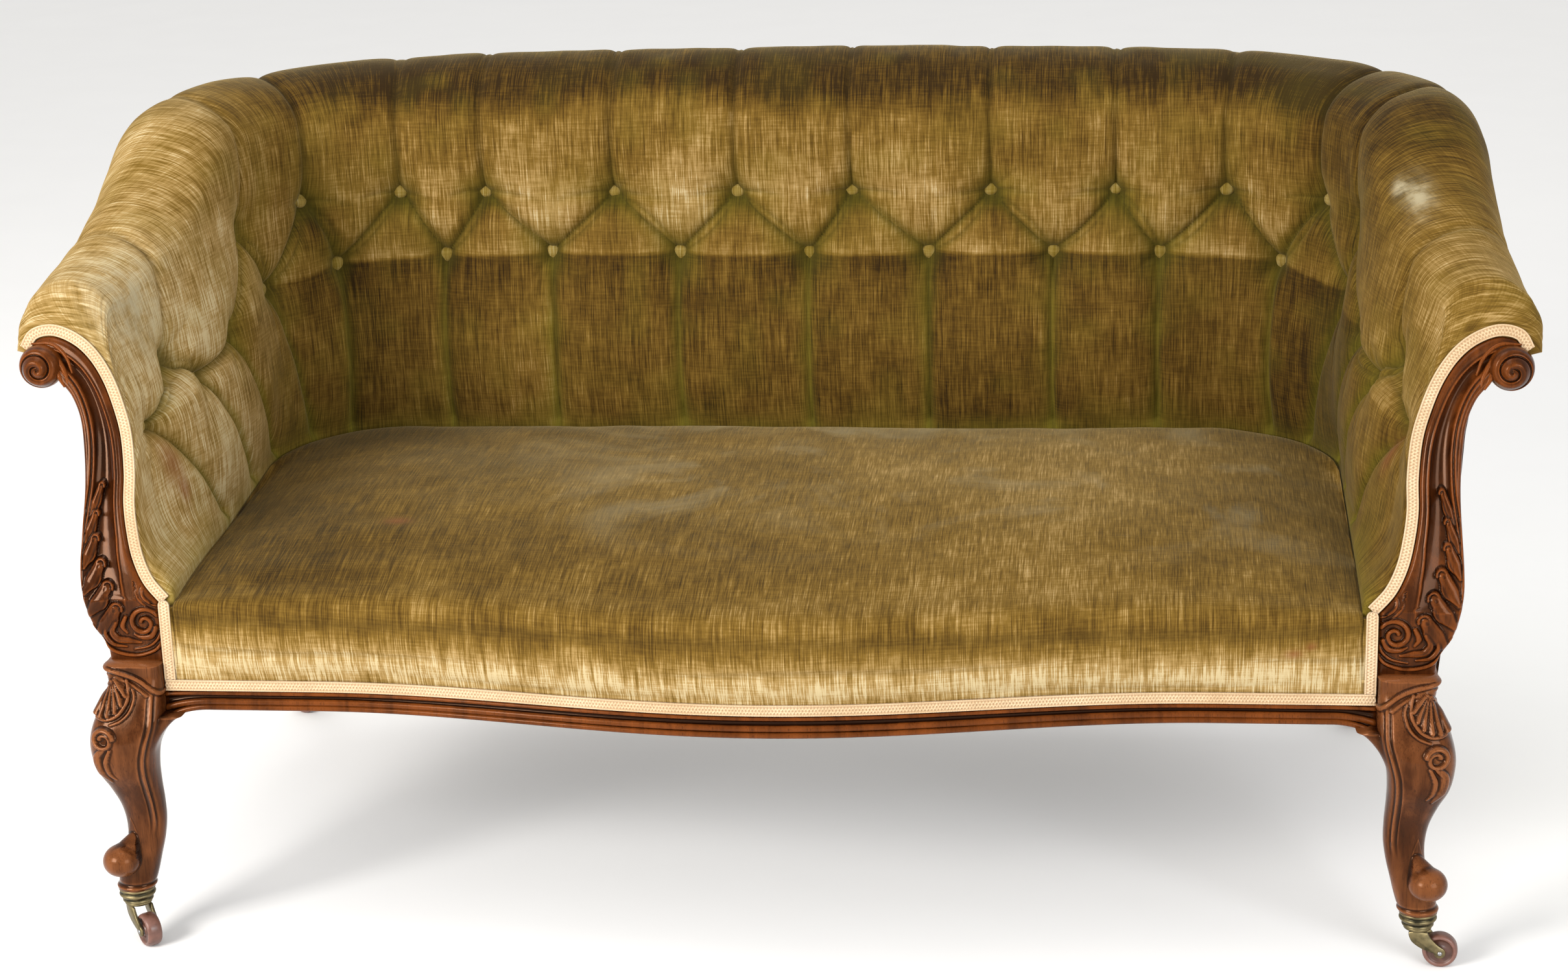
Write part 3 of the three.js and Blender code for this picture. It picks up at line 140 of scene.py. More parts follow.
def smooth_between(a, b, c, d, t):
    """The place a share t of the way from b to c on a smooth line through all four."""
    return 0.5 * (2 * b + (c - a) * t + (2 * a - 5 * b + 4 * c - d) * t**2 + (3 * b - a - 3 * c + d) * t**3)


# Meshes

TUBE_FACETS = 10


def round_turn(count):
    """Angles spread evenly over a full turn."""
    return np.linspace(0, 2 * math.pi, count, endpoint=False)


def to_part(points):
    """Points of the sofa's frame in millimetres as points of the part's frame in metres."""
    places = np.asarray(points, float) * MM
    places[..., 1] += FRONT_PLANE
    return places


def piece_of(name, points, faces, material, slot, uv=None, marks=None, body=BODY):
    """A smooth object riding on a body; marks are values per point that its material reads; slot is not used."""
    mesh = bpy.data.meshes.new(name)
    mesh.from_pydata(to_part(points).tolist(), [], [list(map(int, face)) for face in faces])
    mesh.polygons.foreach_set("use_smooth", [True] * len(mesh.polygons))
    if uv is not None:
        corners = np.empty(len(mesh.loops), int)
        mesh.loops.foreach_get("vertex_index", corners)
        layer = mesh.uv_layers.new(name="cloth")
        layer.data.foreach_set("uv", (np.asarray(uv, float) * MM)[corners].ravel())
    for mark, values in (marks or {}).items():
        layer = mesh.attributes.new(mark, "FLOAT", "POINT")
        layer.data.foreach_set("value", np.asarray(values, float).ravel())
    mesh.materials.append(material)
    mesh.validate()
    piece = bpy.data.objects.new(name, mesh)
    bpy.context.scene.collection.objects.link(piece)
    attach(piece, body)
    return piece


def lofted(rings):
    """Points and faces of closed rings, an array of rings by points, with a face over each end."""
    count, columns = rings.shape[:2]
    row = np.arange(count - 1)[:, None] * columns
    column = np.arange(columns)[None, :]
    after = (column + 1) % columns
    quads = np.stack([row + column, row + after, row + columns + after, row + columns + column], -1)
    last = (count - 1) * columns
    ends = [list(reversed(range(columns))), list(range(last, last + columns))]
    return rings.reshape(-1, 3), quads.reshape(-1, 4).tolist() + ends


def face_out(piece):
    """Turns the faces of a closed piece outwards."""
    work = bmesh.new()
    work.from_mesh(piece.data)
    bmesh.ops.recalc_face_normals(work, faces=work.faces)
    work.to_mesh(piece.data)
    work.free()
    return piece


def joined(parts):
    """One set of points and faces out of several."""
    points, faces, count = [], [], 0
    for part_points, part_faces in parts:
        part_points = np.asarray(part_points, float).reshape(-1, 3)
        points.append(part_points)
        faces += [[count + i for i in face] for face in part_faces]
        count += len(part_points)
    return np.concatenate(points), faces


def mirrored(points, faces):
    """The same mesh on the other side of the sofa."""
    return np.asarray(points) * [-1, 1, 1], [list(reversed(face)) for face in faces]


def turned(profile, facets):
    """A profile of radius and height turned round the z axis."""
    profile = np.asarray(profile, float)
    angle = round_turn(facets)
    radius, height = profile[:, :1], np.repeat(profile[:, 1:], facets, 1)
    rings = np.stack([radius * np.cos(angle), radius * np.sin(angle), height], -1)
    return lofted(rings)


def tube(path, radii):
    """A round bar along a path, with its own radius at each point."""
    path = np.asarray(path, float)
    radii = np.broadcast_to(np.asarray(radii, float), (len(path),))
    run = np.gradient(path, axis=0)
    run /= np.linalg.norm(run, axis=1)[:, None] + 1e-9
    side = np.cross(run, [0.0, 1.0, 0.0])
    weak = np.linalg.norm(side, axis=1) < 0.2
    side[weak] = np.cross(run[weak], [1.0, 0.0, 0.0])
    side = units(side)
    other = np.cross(run, side)
    angle = round_turn(TUBE_FACETS)
    ring = side[:, None] * np.cos(angle)[None, :, None] + other[:, None] * np.sin(angle)[None, :, None]
    return lofted(path[:, None] + ring * radii[:, None, None])


# Curves

SPLINE_STEPS = 24
NOISE_CELLS = 257
NOISE_SHIFT = 1000


class Curve:
    """A smooth curve of one value through keys."""

    def __init__(self, places, values):
        self.places = np.asarray(places, float)
        self.values = np.asarray(values, float)
        self.slopes = np.gradient(self.values, self.places)

    def __call__(self, at):
        at = np.clip(at, self.places[0], self.places[-1])
        k = np.clip(np.searchsorted(self.places, at, side="right") - 1, 0, len(self.places) - 2)
        width = self.places[k + 1] - self.places[k]
        t = (at - self.places[k]) / width
        a, b = self.values[k], self.values[k + 1]
        m, n = self.slopes[k] * width, self.slopes[k + 1] * width
        return a + t * (m + t * (3 * (b - a) - 2 * m - n + t * (2 * (a - b) + m + n)))


def spline(points, count):
    """Points spread evenly along a smooth line through a few."""
    points = np.asarray(points, float)
    ends = np.concatenate([[2 * points[0] - points[1]], points, [2 * points[-1] - points[-2]]])
    fine = []
    for k in range(len(points) - 1):
        a, b, c, d = ends[k : k + 4]
        t = np.linspace(0, 1, SPLINE_STEPS, endpoint=False)[:, None]
        fine.append(smooth_between(a, b, c, d, t))
    fine = np.concatenate(fine + [points[-1:]])
    lengths = way_along(fine)
    return at_lengths(np.linspace(0, lengths[-1], count), lengths, fine)


def value_noise(a, b, size, seed):
    """Smooth random lumps over a plane, about -1 to 1, one to each size."""
    table = np.random.default_rng(seed).uniform(-1, 1, (NOISE_CELLS, NOISE_CELLS))
    u, v = np.asarray(a) / size + NOISE_SHIFT, np.asarray(b) / size + NOISE_SHIFT
    i, j = np.floor(u).astype(int), np.floor(v).astype(int)
    s, t = u - i, v - j
    s, t = s * s * (3 - 2 * s), t * t * (3 - 2 * t)

    def at(m, n):
        return table[m % NOISE_CELLS, n % NOISE_CELLS]

    low = at(i, j) * (1 - s) + at(i + 1, j) * s
    high = at(i, j + 1) * (1 - s) + at(i + 1, j + 1) * s
    return low * (1 - t) + high * t


# Camera, floor and light

CAMERA_PLACE = (392.5, -3131.1, 1553.2)
CAMERA_YAW = 6.54
CAMERA_PITCH = 18.15
CAMERA_ROLL = -1.73
CAMERA_FOCAL_SHARE = 4924 / 2418
SENSOR_WIDTH = 36.0
CAMERA_FAR = 200
FLOOR_HALF = 40000.0
FLOOR_COLOUR = (0.93, 0.93, 0.93)
WORLD_COLOUR = (1.0, 0.99, 0.97, 1)
WORLD_STRENGTH = 0.82
# Name, place, aim, size, power and colour; places and sizes in metres
LIGHTS = [
    ("key", (-2.5, -2.9, 1.9), (0, 0, 0.5), (1.6, 1.4), 176, (1.0, 0.97, 0.93)),
    ("fill", (2.4, -3.0, 1.5), (0, 0, 0.45), (1.8, 1.6), 75, (0.97, 0.98, 1.0)),
    ("top", (-0.6, 0.1, 3.2), (0, 0, 0.6), (2.2, 1.4), 24, (1, 1, 1)),
]


def add_camera():
    """The camera of the photograph, fitted to it."""
    data = bpy.data.cameras.new("camera")
    data.sensor_width = SENSOR_WIDTH
    data.lens = SENSOR_WIDTH * CAMERA_FOCAL_SHARE
    data.clip_end = CAMERA_FAR
    camera = bpy.data.objects.new("camera", data)
    bpy.context.scene.collection.objects.link(camera)
    yaw, pitch, roll = (math.radians(a) for a in (CAMERA_YAW, CAMERA_PITCH, CAMERA_ROLL))
    ahead = Vector((-math.sin(yaw) * math.cos(pitch), math.cos(yaw) * math.cos(pitch), -math.sin(pitch)))
    level = Vector((math.cos(yaw), math.sin(yaw), 0))
    above = level.cross(ahead)
    right = level * math.cos(roll) + above * math.sin(roll)
    up = above * math.cos(roll) - level * math.sin(roll)
    turn = Matrix((right, up, -ahead)).transposed().to_4x4()
    camera.matrix_world = Matrix.Translation(to_part([CAMERA_PLACE])[0]) @ turn
    bpy.context.scene.camera = camera


def add_area(name, place, aim, size, power, colour):
    """A rectangular light that looks at its aim."""
    data = bpy.data.lights.new(name, "AREA")
    data.shape = "RECTANGLE"
    data.size, data.size_y = size
    data.energy = power
    data.color = colour
    light = bpy.data.objects.new(name, data)
    bpy.context.scene.collection.objects.link(light)
    light.location = place
    light.rotation_euler = (Vector(aim) - Vector(place)).to_track_quat("-Z", "Y").to_euler()


def add_studio():
    """White surroundings, three soft lights and a pale floor."""
    world = bpy.data.worlds.new("studio")
    bpy.context.scene.world = world
    bpy.context.scene.view_settings.view_transform = "Standard"
    world.use_nodes = True
    background = world.node_tree.nodes["Background"].inputs
    background["Color"].default_value = WORLD_COLOUR
    background["Strength"].default_value = WORLD_STRENGTH
    for light in LIGHTS:
        add_area(*light)
    floor_mesh = bpy.data.meshes.new("floor")
    half = FLOOR_HALF * MM
    corners = [(-half, -half, 0), (half, -half, 0), (half, half, 0), (-half, half, 0)]
    floor_mesh.from_pydata(corners, [], [(0, 1, 2, 3)])
    floor = bpy.data.objects.new("floor", floor_mesh)
    bpy.context.scene.collection.objects.link(floor)
    floor_mesh.materials.append(plain("pale_floor", FLOOR_COLOUR, 0.9))


# Materials


class Shader:
    """A material and short calls for its nodes."""

    def __init__(self, name):
        self.material = bpy.data.materials.new(name)
        self.material.use_nodes = True
        self.tree = self.material.node_tree
        self.surface = self.tree.nodes["Principled BSDF"]

    def node(self, kind, settings=None, **inputs):
        node = self.tree.nodes.new(kind)
        for key, value in (settings or {}).items():
            setattr(node, key, value)
        for key, value in inputs.items():
            self.feed(node.inputs[key.replace("_", " ")], value)
        return node

    def feed(self, socket, value):
        """Links another node's output to a socket, or sets its value."""
        if isinstance(value, bpy.types.NodeSocket):
            self.tree.links.new(value, socket)
        else:
            socket.default_value = value

    def set(self, **inputs):
        for key, value in inputs.items():
            self.feed(self.surface.inputs[key.replace("_", " ")], value)

    def uv(self, scale):
        """The cloth's own flat coordinates in metres, scaled."""
        uv = self.node("ShaderNodeUVMap", {"uv_map": "cloth"}).outputs["UV"]
        return self.node("ShaderNodeMapping", Vector=uv, Scale=scale).outputs["Vector"]

    def place(self, scale=(1, 1, 1)):
        """The place in the part in metres, scaled."""
        place = self.node("ShaderNodeTexCoord").outputs["Object"]
        return self.node("ShaderNodeMapping", Vector=place, Scale=scale).outputs["Vector"]

    def noise(self, vector, scale=1.0, detail=3.0, roughness=0.5, distortion=0.0):
        shape = {"Scale": scale, "Detail": detail, "Roughness": roughness, "Distortion": distortion}
        return self.node("ShaderNodeTexNoise", Vector=vector, **shape).outputs["Fac"]

    def mark(self, name):
        """A value stored at each point of the piece."""
        return self.node("ShaderNodeAttribute", {"attribute_name": name}).outputs["Fac"]

    def edges(self):
        """Above a half on edges that stand out, below it in hollows."""
        return self.node("ShaderNodeNewGeometry").outputs["Pointiness"]

    def math(self, operation, a, b=0.0, clamp=False):
        node = self.node("ShaderNodeMath", {"operation": operation, "use_clamp": clamp})
        self.feed(node.inputs[0], a)
        self.feed(node.inputs[1], b)
        return node.outputs["Value"]

    def total(self, *values, clamp=False):
        """The sum of values; a clamp keeps the last sum between 0 and 1."""
        so_far = values[0]
        for value in values[1:-1]:
            so_far = self.math("ADD", so_far, value)
        return self.math("ADD", so_far, values[-1], clamp)

    def weighed(self, *parts):
        """The sum of values, each times its weight."""
        return self.total(*(self.math("MULTIPLY", value, weight) for value, weight in parts))

    def ramp(self, value, stops):
        """A colour for each value, from stops of a place and a colour."""
        node = self.node("ShaderNodeValToRGB", Fac=value)
        while len(node.color_ramp.elements) < len(stops):
            node.color_ramp.elements.new(0.5)
        for element, (place, colour) in zip(node.color_ramp.elements, stops):
            element.position = place
            element.color = (*colour, 1)
        return node.outputs["Color"]

    def span(self, value, low, high, to_low=0.0, to_high=1.0):
        """A value spread from one span to another, held at its ends."""
        ends = {"From_Min": low, "From_Max": high, "To_Min": to_low, "To_Max": to_high}
        return self.node("ShaderNodeMapRange", Value=value, **ends).outputs["Result"]

    def blend(self, share, a, b):
        """The colour a share of the way from a to b."""
        node = self.node("ShaderNodeMix", {"data_type": "RGBA"})
        self.feed(node.inputs["Factor"], share)
        self.feed(node.inputs[6], (*a, 1) if isinstance(a, tuple) else a)
        self.feed(node.inputs[7], (*b, 1) if isinstance(b, tuple) else b)
        return node.outputs[2]

    def bump(self, height, strength, distance, below=None):
        """The surface's direction with a relief on it, over another relief if one is given."""
        node = self.node("ShaderNodeBump", Strength=strength, Distance=distance, Height=height)
        if below is not None:
            self.feed(node.inputs["Normal"], below)
        return node.outputs["Normal"]


def plain(name, colour, roughness):
    """An even colour with the faintest of variation."""
    shader = Shader(name)
    grain = shader.noise(shader.place(), 6.0)
    shader.set(Base_Color=shader.blend(grain, colour, tuple(c * 0.97 for c in colour)), Roughness=roughness)
    return shader.material


VELVET_SHADE = (0.02, 0.0095, 0.0011)
VELVET_DEEP = (0.072, 0.0375, 0.0042)
VELVET_BODY = (0.15, 0.0845, 0.013)
VELVET_LIGHT = (0.31, 0.2, 0.07)
VELVET_PALE = (0.46, 0.365, 0.2)
VELVET_GREEN = (0.15, 0.125, 0.011)
VELVET_WATER = (0.22, 0.185, 0.11)
# Painted shade in creases, in the hollow round each button, at each button's rim and along the seat's sag line
VELVET_CREASE_SHADE = (0.02, 0.013, 0.002)
VELVET_RED = (0.16, 0.045, 0.016)
VELVET_WORN = (0.34, 0.29, 0.18)
VELVET_SHEEN = (1.0, 0.78, 0.38, 1)
# The ramp runs from painted shade to painted highlight, under the stripes and random tone
VELVET_STOPS = [
    (0.02, VELVET_SHADE),
    (0.3, VELVET_DEEP),
    (0.58, VELVET_BODY),
    (0.84, VELVET_LIGHT),
    (1.0, VELVET_PALE),
]


def velvet(name, light_share, water=0.0):
    """Old-gold cut velvet with fine stripes along the warp.

    It reads a piece's marks: light, which paints light and shade; the green mark, greener where the pile
    was sheltered and with painted light beside the pleats; the mark of painted shade in creases; stain,
    worn and, where it has dried water, water.
    """
    shader = Shader(name)
    wide = shader.noise(shader.uv((190, 9, 1)), detail=3.0)
    narrow = shader.noise(shader.uv((520, 13, 1)), detail=2.0)
    thread = shader.noise(shader.uv((1150, 34, 1)), detail=1.0)
    weft = shader.noise(shader.uv((30, 460, 1)), detail=2.0)
    stripes = shader.weighed((wide, 0.14), (narrow, 0.36), (thread, 0.34), (weft, 0.16))
    brushed = shader.noise(shader.place(), 7.0, detail=6.0, roughness=0.66, distortion=0.8)
    blotches = shader.noise(shader.uv((46, 30, 1)), detail=4.0, roughness=0.7)
    level = shader.total(
        shader.span(stripes, 0.38, 0.62, -0.25, 0.25),
        shader.span(brushed, 0.36, 0.64, 0.42, 0.58),
        shader.span(blotches, 0.34, 0.66, -0.08, 0.08),
        # Painted light and shade from the light mark
        shader.math("SUBTRACT", shader.mark("light"), 0.5),
        light_share - 0.5,
        clamp=True,
    )
    colour = shader.ramp(level, VELVET_STOPS)
    over = [
        # Greener pile, and painted light beside the pleats
        ("fold", shader.span(stripes, 0.4, 0.6, 0.55, 1.0), VELVET_GREEN),
        ("crease", 0.6, VELVET_CREASE_SHADE),
        ("stain", 0.6, VELVET_RED),
        ("worn", shader.span(blotches, 0.4, 0.6, 0.2, 0.9), VELVET_WORN),
    ]
    for mark, strength, tint in over:
        colour = shader.blend(shader.math("MULTIPLY", shader.mark(mark), strength, clamp=True), colour, tint)
    if water:
        rings = shader.noise(shader.place(), 4.2, detail=5.0, roughness=0.6, distortion=1.2)
        wet = shader.math("MULTIPLY", shader.span(rings, 0.5, 0.66), shader.mark("water"), clamp=True)
        colour = shader.blend(shader.math("MULTIPLY", wet, water), colour, VELVET_WATER)
    shader.set(Base_Color=colour, Roughness=0.85, Specular_IOR_Level=0.1)
    shader.set(Sheen_Weight=0.22, Sheen_Roughness=0.35, Sheen_Tint=VELVET_SHEEN)
    pile = shader.noise(shader.uv((2600, 2600, 1)), detail=1.0)
    normal = shader.bump(stripes, 0.5, 0.0014)
    shader.set(Normal=shader.bump(pile, 0.3, 0.0005, normal))
    return shader.material


BRAID_STOPS = [(0.3, (0.46, 0.31, 0.16)), (0.5, (0.62, 0.455, 0.275)), (0.7, (0.72, 0.56, 0.38))]
# Painted shade in the braid's hollows
BRAID_HOLLOW_SHADE = (0.27, 0.155, 0.068)


def braid_cloth():
    """Pale gold thread, with painted shade in the hollows between the cords."""
    shader = Shader("braid")
    thread = shader.noise(shader.uv((900, 900, 1)), detail=2.0)
    soil = shader.noise(shader.place(), 14.0, detail=4.0)
    colour = shader.ramp(shader.weighed((thread, 0.5), (soil, 0.5)), BRAID_STOPS)
    # Painted shade in the hollows between the cords
    hollow = shader.math("MULTIPLY", shader.mark("hollow"), 0.9, clamp=True)
    colour = shader.blend(hollow, colour, BRAID_HOLLOW_SHADE)
    shader.set(Base_Color=colour, Roughness=0.75, Sheen_Weight=0.3, Sheen_Roughness=0.4)
    shader.set(Normal=shader.bump(thread, 0.5, 0.0006))
    return shader.material


WOOD_DARK = (0.006, 0.0014, 0.0005)
WOOD_BODY = (0.034, 0.0085, 0.0018)
WOOD_WORN = (0.13, 0.033, 0.0055)
# The legs' rubbed edges, paler also as painted light
LEG_WORN_AND_PAINTED_LIGHT = (0.152, 0.05, 0.0155)
WOOD_SHINE = (1.0, 0.5, 0.26, 1)


def polished_wood(name, lift=0.0, gloss=0.2, worn_to=WOOD_WORN):
    """French-polished walnut, dark in its hollows and brown where hands have rubbed it.

    A lift makes all of it paler, the gloss is the strength of its shine, and worn_to is the colour
    of its rubbed edges.
    """
    shader = Shader(name)
    rings = shader.noise(shader.place((55, 55, 5)), detail=6.0, roughness=0.6, distortion=0.5)
    pores = shader.noise(shader.place((900, 900, 30)), detail=2.0)
    worn = shader.noise(shader.place(), 13.0, detail=4.0, roughness=0.55)
    rubbed = shader.span(shader.edges(), 0.46, 0.54, lift - 0.32, lift + 0.22)
    level = shader.total(shader.weighed((rings, 0.55), (worn, 0.45)), rubbed)
    colour = shader.ramp(level, [(0.3, WOOD_DARK), (0.5, WOOD_BODY), (0.74, worn_to)])
    colour = shader.blend(shader.span(pores, 0.56, 0.7, 0.0, 0.5), colour, WOOD_DARK)
    shader.set(Base_Color=colour, Roughness=shader.span(worn, 0.3, 0.7, 0.13, 0.34))
    shader.set(Coat_Weight=0.06, Coat_Roughness=0.08, Specular_IOR_Level=gloss, Specular_Tint=WOOD_SHINE)
    shader.set(Normal=shader.bump(pores, 0.12, 0.0004))
    return shader.material


BEECH_STOPS = [(0.3, (0.3, 0.19, 0.09)), (0.55, (0.46, 0.31, 0.16)), (0.75, (0.56, 0.4, 0.23))]
BEECH_FLECK = (0.26, 0.15, 0.07)


def sawn_wood():
    """Bare beech with short dark flecks."""
    shader = Shader("sawn_beech")
    grain = shader.noise(shader.place((9, 9, 90)), detail=5.0, roughness=0.6)
    flecks = shader.noise(shader.place((300, 300, 60)), detail=1.0)
    share = shader.span(flecks, 0.6, 0.7, 0.0, 0.4)
    shader.set(Base_Color=shader.blend(share, shader.ramp(grain, BEECH_STOPS), BEECH_FLECK), Roughness=0.75)
    shader.set(Normal=shader.bump(grain, 0.2, 0.001))
    return shader.material


def woven(name, colour, dark, threads):
    """A plain weave, its threads as many to the metre as stated."""
    shader = Shader(name)
    place = shader.node("ShaderNodeTexCoord").outputs["Object"]
    shades = []
    for axis in range(3):
        across = shader.node("ShaderNodeSeparateXYZ", Vector=place).outputs[axis]
        wave = shader.math("SINE", shader.math("MULTIPLY", across, threads * math.pi))
        shades.append(shader.math("ABSOLUTE", wave))
    weave = shades[0]
    for shade in shades[1:]:
        weave = shader.math("MULTIPLY", weave, shader.math("ADD", shade, 0.4))
    soil = shader.noise(shader.place(), 7.0, detail=5.0)
    slubs = shader.noise(shader.place((60, 60, 500)), detail=2.0)
    level = shader.weighed((soil, 0.7), (slubs, 0.3))
    shader.set(Base_Color=shader.ramp(level, [(0.32, dark), (0.62, colour)]), Roughness=0.9, Sheen_Weight=0.2)
    shader.set(Normal=shader.bump(weave, 0.4, 0.0008))
    return shader.material


def aged_metal(name, colour, high, rough, metallic=1.0):
    """Tarnished metal, brighter on its edges; high is the colour there."""
    shader = Shader(name)
    tarnish = shader.noise(shader.place(), 90.0, detail=5.0, roughness=0.6)
    level = shader.math("ADD", tarnish, shader.span(shader.edges(), 0.45, 0.58, -0.15, 0.3))
    shader.set(Base_Color=shader.ramp(level, [(0.35, colour), (0.75, high)]), Metallic=metallic)
    shader.set(Roughness=shader.span(tarnish, 0.3, 0.7, rough - 0.1, rough + 0.15))
    shader.set(Normal=shader.bump(tarnish, 0.15, 0.0005))
    return shader.material


# Shape of the padded wall along its length

# Shares of the wall's half length, from the middle of the back to the end of an arm, and the share
# of each measure there
WALL_KEYS = [0, 0.38, 0.53, 0.63, 0.71, 0.8, 0.9, 1]
WALL_TABLES = {
    "crest_rise": [1, 0.958, 0.92, 0.915, 0.845, 0.46, 0.16, 0],
    "crest_out": [0, 0.03, 0.12, 0.1, 0.18, 0.345, 0.66, 1],
    "roll_height": [1, 0.97, 0.93, 0.9, 0.86, 0.8, 0.7, 0.68],
    "roll_inner": [1, 1, 0.98, 0.94, 0.88, 0.82, 0.68, 0.54],
    "roll_outer": [1, 1, 1.03, 0.97, 0.96, 0.97, 0.92, 0.9],
    "low_drop": [0, 0, 0.07, 0.19, 0.29, 0.52, 0.8, 1],
    "top_drop": [0, 0, 0, 0, 0.05, 0.35, 0.83, 1],
    "belly_in": [1, 0.95, 0.8, 0.6, 0.45, 0.3, -0.1, -1.7],
    "low_in": [1, 0.95, 0.8, 0.6, 0.3, -0.2, -1.2, -3.5],
    "top_in": [1, 0.95, 0.6, 0, -0.8, -2, -4.4, -6.4],
    "rail_swell": [0, 0, 0.5, 0.8, 1, 1, 0.6, 0],
}
WALL_CURVES = {name: Curve(WALL_KEYS, values) for name, values in WALL_TABLES.items()}
CREST_OUT_BACK, CREST_OUT_FRONT = 84.0, 130.9
LOW_ROW_BACK, LOW_ROW_FRONT = 628.0, 545.0
TOP_ROW_BACK, TOP_ROW_FRONT = 702.0, 585.0
ROLL_HEIGHT, ROLL_INNER, ROLL_OUTER = 72.0, 90.0, 60.0
BELLY_IN, LOW_CROWN_IN, TOP_CROWN_IN = 21.0, 12.0, 8.0
ROLL_TURNS = [0.99, 0.83, 0.68, 0.53, 0.38, 0.22, 0.05, -0.11]
SEAT_KEY, LOW_ROW, TOP_ROW, FIRST_ROLL_KEY = 1, 5, 7, 8


def face_y(up):
    """How far back the raked plane of the facings is at a height."""
    return np.maximum(0, up - NOTCH_HEIGHT) * FACING_RAKE_SHARE


def along_at_face(up, behind):
    """Length along the wall at a way behind the facing's plane."""
    return ARM_START + CORNER_CENTRE_Y - face_y(up) - behind


WALL_HALF_LENGTH = float(along_at_face(SCROLL_TOP, 0))


def wall_place(along, out, up):
    """The point at a length along the wall, a way out from the seat's edge and a height."""
    side = np.where(along < 0, -1.0, 1.0)
    s = np.abs(along)
    turn = np.clip((s - STRAIGHT_BACK) / CORNER_RADIUS, 0, math.pi / 2)
    reach = CORNER_RADIUS + out
    x = np.where(s < STRAIGHT_BACK, s, STRAIGHT_BACK + reach * np.sin(turn))
    y = CORNER_CENTRE_Y + reach * np.cos(turn) - np.maximum(0, s - ARM_START)
    return np.stack(np.broadcast_arrays(side * x, y, up), -1)


def wall_shape(along):
    """The wall's measures at lengths along it."""
    at = np.interp(np.abs(along), [0, CORNER_MIDDLE, WALL_HALF_LENGTH], [0, CORNER_MIDDLE_SHARE, 1])
    key = {name: curve(at) for name, curve in WALL_CURVES.items()}
    crest = mix(ARM_CREST, BACK_CREST, key["crest_rise"])
    return {
        "crest": crest,
        "crest_out": mix(CREST_OUT_BACK, CREST_OUT_FRONT, key["crest_out"]),
        "low": mix(LOW_ROW_BACK, LOW_ROW_FRONT, key["low_drop"]),
        "top": mix(TOP_ROW_BACK, TOP_ROW_FRONT, key["top_drop"]),
        "rise": ROLL_HEIGHT * key["roll_height"],
        "inner": ROLL_INNER * key["roll_inner"],
        "outer": ROLL_OUTER * key["roll_outer"],
        "belly": -BELLY_IN * key["belly_in"],
        "low_in": -LOW_CROWN_IN * key["low_in"],
        "top_in": -TOP_CROWN_IN * key["top_in"],
        "swell": ARM_RAIL_SWELL * held(key["rail_swell"]),
        "core_top": crest - CORE_BELOW_CREST,
    }


def face_key(w, k):
    """The k-th key point of the wall's face before tufting, as its way out and its height."""
    if k >= FIRST_ROLL_KEY:
        angle = ROLL_TURNS[k - FIRST_ROLL_KEY] * math.pi
        reach = np.where(math.cos(angle) < 0, w["inner"], w["outer"])
        return w["crest_out"] + reach * math.cos(angle), w["crest"] + w["rise"] * (math.sin(angle) - 1)
    belly_up = (SEAT_LINE + w["low"]) / 2
    zero = np.zeros_like(w["low"])
    return [
        (zero, zero + PAD_BOTTOM),
        (zero, zero + SEAT_LINE),
        (w["belly"] * 0.7, mix(SEAT_LINE, belly_up, 0.45)),
        (w["belly"], belly_up),
        ((w["belly"] + w["low_in"]) / 2, (belly_up + w["low"]) / 2),
        (w["low_in"], w["low"]),
        ((w["low_in"] + w["top_in"]) / 2, (w["low"] + w["top"]) / 2),
        (w["top_in"], w["top"]),
    ][k]


KEY_COUNT = FIRST_ROLL_KEY + len(ROLL_TURNS)
FACE_STEP = 2.6
SEGMENT_LENGTHS = [66, 48, 60, 55, 55, 37, 37, 90, 50, 45, 42, 36, 32, 33, 30]


def face_columns():
    """For each column of the face: the key that it follows and its share towards the next."""
    columns = []
    for k, length in enumerate(SEGMENT_LENGTHS):
        count = max(2, round(length / (FACE_STEP if k else FACE_STEP * 4)))
        columns += [(k, i / count) for i in range(count)]
    return columns + [(KEY_COUNT - 2, 1.0)]


COLUMNS = face_columns()
COLUMN_OF = {"end": len(COLUMNS) - 1}
for row_name, row_key in (("seat", SEAT_KEY), ("low", LOW_ROW), ("top", TOP_ROW)):
    COLUMN_OF[row_name] = next(i for i, (k, _) in enumerate(COLUMNS) if k == row_key)


def wall_face(along):
    """Way out and height of every column, each at its own length along the wall."""
    out, up = np.empty_like(along), np.empty_like(along)
    segments = np.array([k for k, _ in COLUMNS])
    shares = np.array([t for _, t in COLUMNS])
    for k in range(KEY_COUNT - 1):
        these = np.flatnonzero(segments == k)
        w = wall_shape(along[:, these])
        keys = [face_key(w, min(max(m, 0), KEY_COUNT - 1)) for m in (k - 1, k, k + 1, k + 2)]
        if k == SEAT_KEY:
            keys[0] = keys[1]
        t = shares[these][None, :]
        for target, part in ((out, 0), (up, 1)):
            a, b, c, d = (key[part] for key in keys)
            target[:, these] = smooth_between(a, b, c, d, t)
    return out, up


# Tufts and folds

# Tufts as lengths along the wall from its middle, left and right as the photograph shows them
LOW_TUFTS = [-1015, -892, -798, -670, -567, -440, -309, -152, 5, 148, 298, 424, 562, 691, 798, 892, 1015]
TOP_TUFTS = [-940, -722, -601, -491, -389, -230, -80, 58, 224, 372, 500, 617, 722, 940]
SLANT_START = 620.0
LOW_PLEAT_SLANT = 105.0
ROLL_PLEAT_SLANT = 50.0
TUFT_DEPTH = 15.0
TUFT_SPREAD = 24.0
